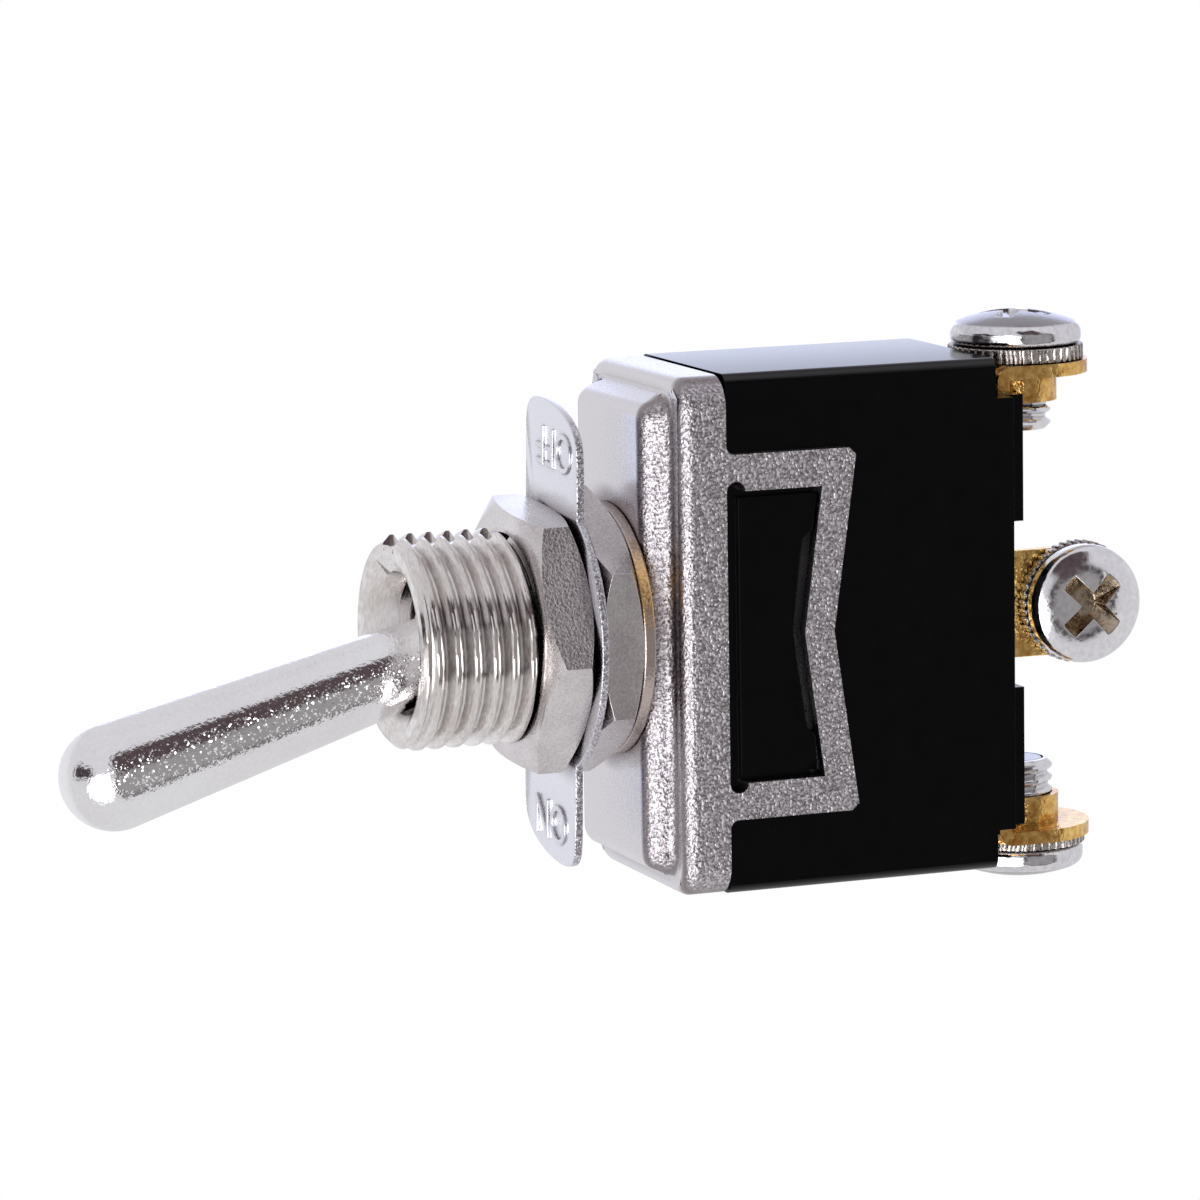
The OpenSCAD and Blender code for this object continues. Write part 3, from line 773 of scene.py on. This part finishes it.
@dataclass
class Thread:
    """An outside thread as a closed sleeve.

    Attributes, in mm but for the counts and shares:
        radius, inner: over the crests, and inside the sleeve.
        start, end: places of its ends along the axis.
        pitch, depth: from crest to crest, and from crest to root.
        chamfer: radius lost at the first end.
        key_half: half width of a keyway along +Z, or 0 for none.
        key_floor: height of the keyway's floor.
        around, per_pitch: columns round the axis, and rows in one pitch.
        run_in, run_out: length without thread at the first end, and length
            over which it then reaches full depth.
        crest, flank: shares of half a wave that they take.
    """

    radius: float
    inner: float
    start: float
    end: float
    pitch: float
    depth: float
    chamfer: float
    key_half: float = 0.0
    key_floor: float = 0.0
    around: int = 240
    per_pitch: int = 16
    run_in: float = 0.1
    run_out: float = 0.5
    crest: float = 0.20
    flank: float = 0.74

    def wave(self, turns: Array) -> Array:
        """Depth of the thread, 0 at its crest and 1 in its root: a triangle
        wave of the turns, its crest and root flattened and rounded."""
        wave = np.abs(2.0 * (turns - np.floor(turns)) - 1.0)
        cut = np.clip((wave - self.crest) / self.flank, 0.0, 1.0)
        return 0.75 * cut + 0.25 * cut * cut * (3.0 - 2.0 * cut)

    def points(self) -> Array:
        """Rings along the axis whose radius is the crest's less the wave's
        depth at the helix's turn, under the chamfer's cone and the keyway's
        floor; then back along the inside.

        Returns:
            Rings x columns x 3: across, along the axis, and up, mm.
        """
        length = self.end - self.start
        rows = int(abs(length) / self.pitch * self.per_pitch) + 1
        along = np.linspace(self.start, self.end, rows)[:, None]
        angle = round_angles(self.around)[None, :]
        turns = (along - self.start) / self.pitch - angle / (2.0 * math.pi)
        gone = np.abs(along - self.start)
        fade = np.clip((gone - self.run_in) / self.run_out, 0.0, 1.0)
        radius = self.radius - self.depth * self.wave(turns) * fade
        radius = np.minimum(radius, self.radius - self.chamfer + gone)
        if self.key_half:
            across = np.abs(radius * np.sin(angle))
            inside = (across < self.key_half) & (np.cos(angle) > 0)
            floor = self.key_floor / np.maximum(np.cos(angle), 0.2)
            radius = np.where(inside, np.minimum(radius, floor), radius)
        back = np.full((2, self.around), self.inner)
        radius = np.concatenate([radius, back])
        along = np.concatenate([along, [[self.end], [self.start]]])
        along = np.broadcast_to(along, radius.shape)
        return np.stack(
            [radius * np.sin(angle), along, radius * np.cos(angle)], -1
        )


@dataclass(frozen=True)
class ToothedWasher:
    """A flat ring whose outside is cut in fine slanting teeth.

    Attributes:
        name: the piece's name.
        outer, thick: radius over the teeth, and thickness, mm.
        teeth, columns: how many teeth, and points round each.
        seat: the terminal it lies on.
        nodes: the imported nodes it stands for.
        hole, cut: radius of its hole, and depth of the teeth, mm.
        square: how sharply a tooth begins and ends.
        slant: how far the teeth turn from face to face, radians of a wave.
    """

    name: str
    outer: float
    thick: float
    teeth: int
    seat: Seat
    nodes: tuple[str, ...] = ()
    hole: float = 2.15
    cut: float = 0.11
    square: float = 9.0
    slant: float = 1.4
    columns: int = 12

    def points(self) -> Array:
        """Rings up the outside, whose radius falls by a square-edged wave
        of the angle that shifts with height, and down the hole.

        Returns:
            Rings x columns x 3: across, up from its seat, and along, mm.
        """
        LOG.info("%s: %d teeth", self.name, self.teeth)
        angle = round_angles(self.teeth * self.columns)
        up = np.array([0.0, 0.06, 0.5, 0.94, 1.0, 1.0, 0.0]) * self.thick
        fall = np.array([0.06, 0.0, 0.0, 0.0, 0.06, 0.0, 0.0])
        wave = np.sin(self.teeth * angle[None, :]
                      + self.slant * up[:, None] / self.thick)
        cut = self.cut / (1.0 + np.exp(-self.square * wave))
        radius = self.outer - fall[:, None] - cut
        radius[5:] = self.hole
        height = np.broadcast_to(up[:, None], radius.shape)
        return np.stack([radius * np.cos(angle), height,
                         radius * np.sin(angle)], -1)


# ---- sub-assemblies


@dataclass
class CoverAndCasing:
    """The formed metal cover and the moulded casing behind it.

    Attributes, in mm:
        shoulder_y, level: place of the shoulder at the slope's foot, and
            how near to it a point lies on it.
        shoulder: half width and half length that hold the foot.
        bend, end_share: width of the foot's rounding, and the share of it
            round the ends.
        corner: middle of the foot's corner arcs.
    """

    finishes: Finishes
    cover_edge: float = 0.17
    casing_edge: float = 0.18
    shoulder_y: float = 1.6
    level: float = 0.03
    shoulder: tuple[float, float] = (6.0, 13.62)
    bend: float = 0.47
    end_share: float = 0.26
    corner: tuple[float, float] = (4.2, 12.05)

    def foot(self, a: Array, b: Array) -> Array:
        """Picks the slope's foot: full along the sides, a small share round
        the ends, where the shoulder is narrow, and the sine of the way
        round at the corners."""
        flat = (np.abs(a[:, 1] - self.shoulder_y) < self.level) & (
            np.abs(b[:, 1] - self.shoulder_y) < self.level)
        for axis, limit in zip((0, 2), self.shoulder):
            flat &= np.maximum(np.abs(a[:, axis]), np.abs(b[:, axis])) < limit
        middle = np.abs(a + b) / 2
        across = np.maximum(middle[:, 0] - self.corner[0], 0)
        along = np.maximum(middle[:, 2] - self.corner[1], 0)
        turn = across / np.maximum(np.hypot(across, along), TINY)
        share = self.end_share + (1 - self.end_share) * turn
        return np.where(flat, share, 0.0)

    def build(self) -> None:
        """Rounds and dresses the cover, the casing and the fibre sheet."""
        softened("cover", self.finishes.cover, "plated_cover",
                 self.cover_edge, full=self.bend, fullness=self.foot)
        softened("casing", self.finishes.casing, "phenolic",
                 self.casing_edge)
        dress("insulator", self.finishes.fibre)


@dataclass
class BushingStack:
    """The threaded bushing with its nuts, washer and indicator plate.

    Attributes, in mm but for plate_turn (degrees) and the counts:
        rim, wall: radius under the thread's sleeve, and the lip's least
            thickness.
        mouth: radius of the mouth at its front edge.
        pitch, depth, chamfer: the thread's.
        key_half, key_floor: half width of the keyway, height of its floor.
        tongue_half, tongue_reach: the same for the plate's tongue in it.
        plate_soft: radius of the plate's rounded edges.
        tab_end, tab_shift: radius and offset of a tab's rounded end.
        tab_round: how far its corners are blended.
        search, halvings: reach and number of the edge's trial steps.
        letter_soft, letter_thin: the letters' edge radius and thinning.
    """

    finishes: Finishes
    radius: float = 6.0
    length: float = 13.0
    rim: float = 5.46
    wall: float = 0.5
    mouth: float = 4.93
    pitch: float = 1.09
    depth: float = 0.58
    chamfer: float = 0.42
    key_half: float = 0.8
    key_floor: float = 5.1
    tongue_half: float = 0.48
    tongue_reach: float = 5.37
    plate_front: float = -3.55
    plate_back: float = -3.10
    plate_turn: float = 3.2
    plate_radius: float = 8.0
    plate_bore: float = 6.0
    plate_soft: float = 0.09
    tab_half: float = 4.0
    tab_reach: float = 13.0
    tab_end: float = 11.5
    tab_shift: float = 1.5
    tab_round: float = 0.55
    columns: int = 1440
    search: float = 16.0
    halvings: int = 40
    letter_size: float = 3.124
    letter_rise: float = 0.09
    letter_soft: float = 0.06
    letter_thin: float = 0.045

    def drawn_in(self, points: Array) -> Array:
        """Brings the plain outside wall in to the rim's radius, so that the
        thread's sleeve fits over it, and opens the mouth's front edge."""
        moved = points.copy()
        radius = np.hypot(points[:, 0], points[:, 2])
        wall = (radius > self.rim) & (points[:, 1] < -0.005)
        share = np.where(wall, self.rim / np.maximum(radius, TINY), 1.0)
        lip = points[:, 1] < 0.01 - self.length
        lip &= radius < self.rim - self.wall
        share = np.where(lip, self.mouth / np.maximum(radius, TINY), share)
        moved[:, 0] *= share
        moved[:, 2] *= share
        return moved

    def plate_edge(self, angle: Array) -> Array:
        """How far the plate reaches at angles from +Z towards +X, mm: its
        ring's radius, or to where a ray leaves a tab, whose side and
        rounded end meet in a smooth greatest of the two distances."""
        across, up = np.sin(angle), np.abs(np.cos(angle))
        shift = -self.tab_shift * np.sign(np.cos(angle))
        near, far = np.zeros_like(angle), np.full_like(angle, self.search)
        for _ in range(self.halvings):
            reach = (near + far) / 2
            side = np.abs(reach * across) - self.tab_half
            end = np.hypot(reach * across - shift,
                           reach * up - (self.tab_reach - self.tab_end))
            end -= self.tab_end
            gap = self.tab_round * np.logaddexp(
                side / self.tab_round, end / self.tab_round)
            near, far = (np.where(gap < 0, reach, near),
                         np.where(gap < 0, far, reach))
        return np.maximum(near, self.plate_radius)

    def plate(self) -> Object:
        """Sweeps the plate's section round its edge: the bore, the front
        face, the rounded rim and the back face."""
        angle = round_angles(self.columns)
        edge, soft = self.plate_edge(angle), self.plate_soft
        bore = np.full_like(edge, self.plate_bore)
        tongue = np.abs(bore * np.sin(angle)) < self.tongue_half
        tongue &= np.cos(angle) > 0
        bore = np.where(tongue, self.tongue_reach / np.cos(angle), bore)
        front, back = self.plate_front, self.plate_back
        turn = np.linspace(0, math.pi / 2, 4)
        reach = [bore] + [edge - soft * (1 - math.sin(t)) for t in turn]
        level = [front] + [front + soft * (1 - math.cos(t)) for t in turn]
        reach += [edge - soft * (1 - math.cos(t)) for t in turn] + [bore]
        level += [back - soft * (1 - math.sin(t)) for t in turn] + [back]
        reach = np.stack(reach)
        level = np.broadcast_to(np.array(level)[:, None], reach.shape)
        angle = angle + math.radians(self.plate_turn)
        points = np.stack(
            [reach * np.sin(angle), level, reach * np.cos(angle)], -1)
        return grid_mesh("indicator_plate_piece", points, loop=True)

    def letters(self, words: str, name: str, x: float, z: float) -> None:
        """Raises a word on the plate, its foot towards +Z.

        Args:
            words: the word.
            name: the piece's name.
            x: the word's middle across the plate, mm.
            z: its middle along the plate, mm.
        """
        curve = bpy.data.curves.new(name, "FONT")
        curve.body = words
        curve.size = self.letter_size
        curve.align_x = "CENTER"
        curve.align_y = "CENTER"
        curve.extrude = self.letter_rise
        curve.bevel_depth = self.letter_soft
        curve.bevel_resolution = 2
        curve.offset = -self.letter_thin
        flat = place(name + "_curve", curve)
        bpy.context.view_layer.update()
        mesh = bpy.data.meshes.new_from_object(flat)
        bpy.data.objects.remove(flat)
        mesh.transform(
            Matrix.Scale(MM, 4)
            @ Matrix.Rotation(math.radians(self.plate_turn), 4, "Y")
            @ Matrix.Translation((x, self.plate_front, z))
            @ Matrix.Rotation(math.radians(180), 4, "Y")
            @ Matrix.Rotation(math.radians(90), 4, "X")
        )
        settle(adopt(name, mesh), self.finishes.raised, "satin_plate")

    def build(self) -> None:
        """Makes the threaded sleeve and dresses the stack."""
        f = self.finishes
        softened("bushing", f.bushing, "plated_bushing", 0.05,
                 reshape=self.drawn_in)
        sleeve = Thread(
            self.radius, self.rim, -self.length, 0.0, self.pitch, self.depth,
            self.chamfer, self.key_half, self.key_floor,
        )
        thread = grid_mesh("bushing_thread", sleeve.points(), loop=True)
        settle(thread, f.bushing, "plated_bushing")
        softened("front_nut", f.nut, "plated_nut", 0.09)
        softened("rear_nut", f.nut, "plated_nut", 0.09)
        settle(self.plate(), f.plate, "satin_plate", "indicator_plate")
        softened("brass_washer", f.gold_ring, "brass", 0.12)
        self.letters("OFF", "letters_off", 0.55, 10.5)
        self.letters("ON", "letters_on", 0.25, -10.65)
        dress("retaining_ring", f.brass)


@dataclass
class Lever:
    """The bat handle with its pin, plunger and spring.

    Attributes, in mm but for tilt (degrees), around and spring_keep:
        pivot: place of the pin along Y.
        length: from the pin to the tip.
        tip, root, ball, tail, bore: radii along the handle.
        flare: how much thicker the root is where it meets the ball.
        floor, point: ends of the bore and of its cone.
        spring_seat: where the spring rests; not used.
        spring_keep: share of its length left when the plunger is in; not used.
    """

    finishes: Finishes
    pivot: float = -7.6
    tilt: float = 15.9
    length: float = 25.3
    tip: float = 3.02
    root: float = 2.1
    flare: float = 0.15
    ball: float = 3.9
    tail: float = 1.9
    tail_end: float = 10.6
    tail_bevel: float = 0.2
    bore: float = 1.15
    bore_bevel: float = 0.1
    floor: float = 1.75
    point: float = 1.55
    around: int = 160
    spring_seat: float = 1.6
    spring_keep: float = 0.82

    def profile(self) -> Array:
        """Outline from the tip back over the ball to the tail and into its
        bore: arcs for the tip and the ball, a straight taper between.

        Returns:
            Rows of (place along the axis, radius), mm; the front is
            negative.
        """
        shaft = self.length - self.tip
        turn = np.linspace(0.0, math.pi / 2, 26)
        tip = np.stack([-shaft - self.tip * np.cos(turn),
                        self.tip * np.sin(turn)], -1)
        foot = self.root + self.flare
        neck = -math.sqrt(self.ball**2 - foot ** 2)
        step = np.linspace(0.0, 1.0, 40)[1:, None]
        taper = tip[-1] + step * (np.array([neck, foot]) - tip[-1])
        turn = np.linspace(math.atan2(foot, neck),
                           math.asin(self.tail / self.ball), 40)[1:]
        ball = np.stack([self.ball * np.cos(turn),
                         self.ball * np.sin(turn)], -1)
        tail = np.array([
            [self.tail_end - self.tail_bevel, self.tail],
            [self.tail_end, self.tail - self.tail_bevel],
            [self.tail_end, self.bore + self.bore_bevel],
            [self.tail_end - self.bore_bevel, self.bore],
            [self.floor, self.bore], [self.point, 0.0],
        ])
        return np.concatenate([tip, taper, ball, tail])

    def build(self) -> None:
        """Turns the handle from its profile and dresses what it carries."""
        rows = self.profile()
        angle = round_angles(self.around)
        radius = np.maximum(rows[:, 1:], 0.004)
        along = np.broadcast_to(rows[:, :1], (len(rows), self.around))
        side, up = radius * np.cos(angle), radius * np.sin(angle)
        lean = math.radians(self.tilt)
        y = along * math.cos(lean) - up * math.sin(lean)
        z = along * math.sin(lean) + up * math.cos(lean)
        turned = np.stack([side, y + self.pivot, z], -1)
        handle = grid_mesh("bat_handle", turned, caps=True)
        settle(handle, self.finishes.lever, "chrome", "lever",
               body=Body.LEVER)
        dress("pivot_pin", self.finishes.steel)
        dress("plunger", self.finishes.nylon)
        self.spring()

    def spring(self) -> None:
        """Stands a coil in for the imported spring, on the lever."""
        coil = adopt("spring_coil",
                     merged_copy("plunger_spring", "spring_coil"))
        settle(coil, self.finishes.steel, "steel", "plunger_spring",
               body=Body.LEVER)
        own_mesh(coil)


@dataclass
class ContactSet:
    """The rocker and the contacts, hidden in the casing."""

    finishes: Finishes

    def build(self) -> None:
        """Dresses the inner pieces."""
        dress("rocker", self.finishes.copper)
        for node in ("moving_contacts", "fixed_contacts"):
            dress(node, self.finishes.silver)


@dataclass
class Terminals:
    """The brass strips with their screws and toothed washers.

    Attributes, in mm:
        end_y, end_top: the end screws' axis and their seats' height.
        end_radius: their shanks', over the thread.
        shrink: how far the shanks are drawn in to their threads' roots.
        mid_x, mid_y, mid_z: the middle screw's seat and its axis.
        mid_head, head_face: its head's radius and the place of its face.
        lift: gap under each toothed washer.
        ends_from: height from which a point belongs to an end screw.
        shank_skin, shank_over: radii about end_radius, and length beyond
            the seat, in which a point is on a shank.
        rim_skin, rim_edge: how far in from mid_head a head's rim lies, and
            the length of its longest edge.
        recess_reach, recess_rise, recess_deep: radius, least height and
            depth below the face at which a face is in the recess.
        recess_facing: share facing outward under which it is a flank.
        thread_wall, thread_length: the sleeve's thickness and length.
        thread_reach: from under the head to the sleeve's lower end.
    """

    finishes: Finishes
    end_y: float = 25.07
    end_top: float = 13.75
    end_radius: float = 2.0
    shrink: float = 0.32
    mid_x: float = 0.875
    mid_y: float = 28.3
    mid_z: float = -0.35
    mid_head: float = 3.42
    head_face: float = 3.2
    lift: float = 0.01
    ends_from: float = 6.0
    shank_skin: tuple[float, float] = (-0.45, 0.02)
    shank_over: float = 0.3
    rim_skin: float = 0.1
    rim_edge: float = 0.9
    recess_reach: float = 2.5
    recess_rise: float = 0.8
    recess_facing: float = 0.85
    recess_deep: float = 0.5
    thread_wall: float = 0.5
    thread_length: float = 4.6
    thread_reach: float = 4.85
    washers: tuple[ToothedWasher, ...] = (
        ToothedWasher("upper_toothed_washer", 3.86, 0.83, 48, Seat.UPPER,
                      ("end_washers",)),
        ToothedWasher("lower_toothed_washer", 3.86, 0.48, 48, Seat.LOWER),
        ToothedWasher("middle_toothed_washer", 3.53, 0.68, 44, Seat.MIDDLE,
                      ("common_washer",)),
    )

    def slimmed(self, points: Array) -> Array:
        """Brings the end screws' shanks in to their threads' roots."""
        moved = points.copy()
        far = np.hypot(points[:, 0], points[:, 1] - self.end_y)
        low, high = self.shank_skin
        shank = (far < self.end_radius + high) & (far > self.end_radius + low)
        shank &= np.abs(points[:, 2]) < self.end_top + self.shank_over
        share = np.where(shank, 1 - self.shrink / self.end_radius, 1.0)
        moved[:, 0] = points[:, 0] * share
        moved[:, 1] = (points[:, 1] - self.end_y) * share + self.end_y
        return moved

    def from_axis(self, points: Array) -> Array:
        """Distance of points from the axis of the screw they are part of."""
        end = np.hypot(points[:, 0], points[:, 1] - self.end_y)
        mid = np.hypot(points[:, 1] - self.mid_y, points[:, 2] - self.mid_z)
        return np.where(np.abs(points[:, 2]) > self.ends_from, end, mid)

    def rim(self, a: Array, b: Array) -> Array:
        """Picks the short edges round the heads' outsides, whose ends lie
        beyond the shanks and recesses."""
        near = np.minimum(self.from_axis(a), self.from_axis(b))
        picked = near > self.mid_head - self.rim_skin
        picked &= np.linalg.norm(a - b, axis=1) < self.rim_edge
        return np.where(picked, 1.0, 0.0)

    def line_recess(self, obj: Object) -> None:
        """Gives the recess in the middle screw's head its own finish: the
        faces near the axis that face sideways or lie deep."""
        faces = obj.data.polygons
        middle = vectors(faces, "center") / MM
        facing = vectors(faces, "normal")
        off = np.hypot(middle[:, 1] - self.mid_y, middle[:, 2] - self.mid_z)
        inside = off < self.recess_reach
        inside &= middle[:, 0] > self.mid_x + self.recess_rise
        inside &= (np.abs(facing[:, 0]) < self.recess_facing) | (
            middle[:, 0] < self.head_face - self.recess_deep)
        obj.data.materials.append(self.finishes.recess)
        faces.foreach_set("material_index", inside.astype(np.int32))

    def lay_washers(self) -> None:
        """Lays a toothed ring under each head."""
        for ring in self.washers:
            x, up, z = np.moveaxis(ring.points(), -1, 0)
            if ring.seat is Seat.MIDDLE:
                laid = [up + self.mid_x + self.lift, x + self.mid_y,
                        z + self.mid_z]
            else:
                laid = [x, z + self.end_y,
                        ring.seat.value * (up + self.end_top + self.lift)]
            settle(grid_mesh(ring.name, np.stack(laid, -1), loop=True),
                   self.finishes.washer, "plated_washer", *ring.nodes)

    def threads(self) -> None:
        """Winds a thread round each end screw's shank."""
        for name, seat, thick in (
            ("upper_screw_thread", Seat.UPPER, 0.85),
            ("lower_screw_thread", Seat.LOWER, 0.5),
        ):
            x, along, z = np.moveaxis(Thread(
                self.end_radius, self.end_radius - self.thread_wall, 0.0,
                self.thread_length, pitch=0.7, depth=0.33, chamfer=0.3,
                around=96, per_pitch=10,
            ).points(), -1, 0)
            low = self.end_top + thick - self.thread_reach
            wound = np.stack(
                [x, z + self.end_y, seat.value * (along + low)], -1)
            settle(grid_mesh(name, wound, loop=True), self.finishes.screw,
                   "plated_screw")

    def build(self) -> None:
        """Rounds and dresses the strips, screws and washers."""
        f = self.finishes
        for node in ("upper_terminal", "lower_terminal", "common_terminal"):
            softened(node, f.brass, "brass", 0.07)
        softened("end_screws", f.end_screw, "plated_screw", 0.06,
                 reshape=self.slimmed, full=0.42, fullness=self.rim)
        self.line_recess(softened("common_screw", f.screw, "plated_screw",
                                  0.05, full=0.38, fullness=self.rim))
        self.lay_washers()
        self.threads()


# ---- studio


@dataclass(frozen=True)
class Patch:
    """A soft round patch of the studio that metal mirrors.

    Attributes:
        toward: direction to its middle.
        size: its half width in degrees.
        soft: width of its edge in degrees.
        color: what it sends back.
    """

    toward: Triple
    size: float
    soft: float
    color: Color


@dataclass
class Studio:
    """White surroundings, one lamp, a floor and the camera.

    Attributes, in mm and degrees:
        bearing, height, roll, distance: the camera's, about the aim.
        slide: shift of the camera to its left and down.
        lens, sensor: its focal length and its sensor's width.
        floor_drop: depth of the floor.
        ambient: how bright the surroundings are to matt surfaces.
        below, above: what metal mirrors there.
        patches: soft patches laid over that.
    """

    bearing: float = 68.975
    height: float = 8.789
    roll: float = -0.925
    distance: float = 326.894
    aim: Triple = (0.0, 8.0, 0.0)
    slide: tuple[float, float] = (8.015, -0.939)
    lens: float = 173.80
    sensor: float = 36.0
    floor_drop: float = 150.0
    ambient: float = 0.76
    below: Color = (0.72, 0.71, 0.72)
    above: Color = (0.72, 0.71, 0.74)
    patches: tuple[Patch, ...] = (
        Patch((-0.92, -0.35, -0.15), 34.0, 18.0, (0.84, 0.84, 0.87)),
        Patch((-0.92, 0.35, 0.15), 20.0, 12.0, (1.22, 1.29, 1.60)),
        Patch((-0.33, 0.36, 0.87), 13.0, 10.0, (0.48, 0.44, 0.47)),
        Patch((0.72, -0.64, -0.30), 25.0, 8.0, (4.00, 4.00, 4.05)),
        Patch((-0.08, -0.98, 0.17), 12.0, 5.0, (0.05, 0.04, 0.045)),
        Patch((0.28, -0.94, 0.20), 11.0, 5.0, (0.05, 0.04, 0.045)),
        Patch((0.955, 0.27, -0.10), 31.5, 2.0, (0.05, 0.04, 0.04)),
        Patch((0.955, 0.27, -0.10), 26.0, 2.0, (0.33, 0.315, 0.32)),
        Patch((0.805, 0.06, 0.59), 21.0, 5.0, (0.085, 0.060, 0.065)),
    )

    def camera(self) -> None:
        """Sets the camera from its bearing, height and roll about the
        aim."""
        az, el, roll = (math.radians(v) for v in
                        (self.bearing, self.height, self.roll))
        back = Vector((math.sin(az) * math.cos(el),
                       -math.cos(az) * math.cos(el), math.sin(el)))
        level = Vector((math.cos(az), math.sin(az), 0.0))
        up = back.cross(level)
        right = level * math.cos(roll) + up * math.sin(roll)
        top = up * math.cos(roll) - level * math.sin(roll)
        spot = (Vector(self.aim) + back * self.distance
                - right * self.slide[0] - top * self.slide[1]) * MM
        data = bpy.data.cameras.new("view")
        data.lens = self.lens
        data.sensor_width = self.sensor
        data.clip_start, data.clip_end = 0.01, 20.0
        obj = place("view", data)
        turn = Matrix((right, top, back)).transposed().to_4x4()
        obj.matrix_world = Matrix.Translation(spot) @ turn
        bpy.context.scene.camera = obj

    def world(self) -> None:
        """White to the camera and pale to matt surfaces; metal mirrors grey
        with the soft patches laid over it."""
        world = bpy.data.worlds.new("surroundings")
        world.use_nodes = True
        bpy.context.scene.world = world
        tree = Tree(world.node_tree)
        toward = tree.coords["Generated"]
        color = tree.blend(
            tree.span(tree.part(toward, "Z"), -0.4, 0.5, smooth=True),
            rgba(self.below), rgba(self.above),
        )
        for patch in self.patches:
            middle = tuple(Vector(patch.toward).normalized())
            edge = [math.cos(math.radians(max(patch.size + half, 0)))
                    for half in (patch.soft / 2, -patch.soft / 2)]
            share = tree.span(
                tree.vector("DOT_PRODUCT", i0=toward, i1=middle), *edge,
                smooth=True,
            )
            color = tree.blend(share, color, rgba(patch.color))
        mirrored = tree.add("ShaderNodeBackground", Color=color)
        rays = tree.add("ShaderNodeLightPath").outputs
        plain = tree.add(
            "ShaderNodeBackground", Color=rgba((1, 1, 1)),
            Strength=tree.span(
                rays["Is Camera Ray"], 0.0, 1.0, self.ambient, 1.0
            ),
        )
        mix = tree.add(
            "ShaderNodeMixShader", Fac=rays["Is Glossy Ray"],
            i1=plain.outputs["Background"], i2=mirrored.outputs["Background"],
        )
        tree.add("ShaderNodeOutputWorld", Surface=mix.outputs["Shader"])

    def floor(self) -> None:
        """A wide pale disc far below."""
        turn = round_angles(96)
        ring = np.array([1.0, 900.0])[:, None] + 0 * turn
        height = np.full_like(ring, -self.floor_drop)
        obj = grid_mesh("floor", np.stack(
            [ring * np.cos(turn), ring * np.sin(turn), height], -1))
        obj.data.materials.append(FloorFinish("pale_floor").build())

    def lamp(
        self, name: str, spot: Sequence[float], size: float, watts: float
    ) -> None:
        """Hangs a square white lamp, size mm wide, that faces the
        switch."""
        data = bpy.data.lights.new(name, "AREA")
        data.size = size * MM
        data.energy = watts
        obj = place(name, data)
        obj.location = Vector(spot) * MM
        aim = (Vector(self.aim) - Vector(spot)) * MM
        obj.rotation_euler = aim.to_track_quat("-Z", "Y").to_euler()
        obj.visible_glossy = False

    def build(self) -> None:
        """Sets camera, surroundings, floor and lamp."""
        bpy.context.scene.view_settings.view_transform = "Standard"
        self.camera()
        self.world()
        self.floor()
        self.lamp("key", (-120, -360, 460), 500, 0.9)


def main() -> None:
    """Builds the switch and its studio."""
    logging.basicConfig(level=logging.INFO, format="%(name)s: %(message)s")
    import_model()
    finishes = Finishes()
    CoverAndCasing(finishes).build()
    BushingStack(finishes).build()
    Lever(finishes).build()
    ContactSet(finishes).build()
    Terminals(finishes).build()
    Studio().build()


if __name__ == "__main__":
    main()
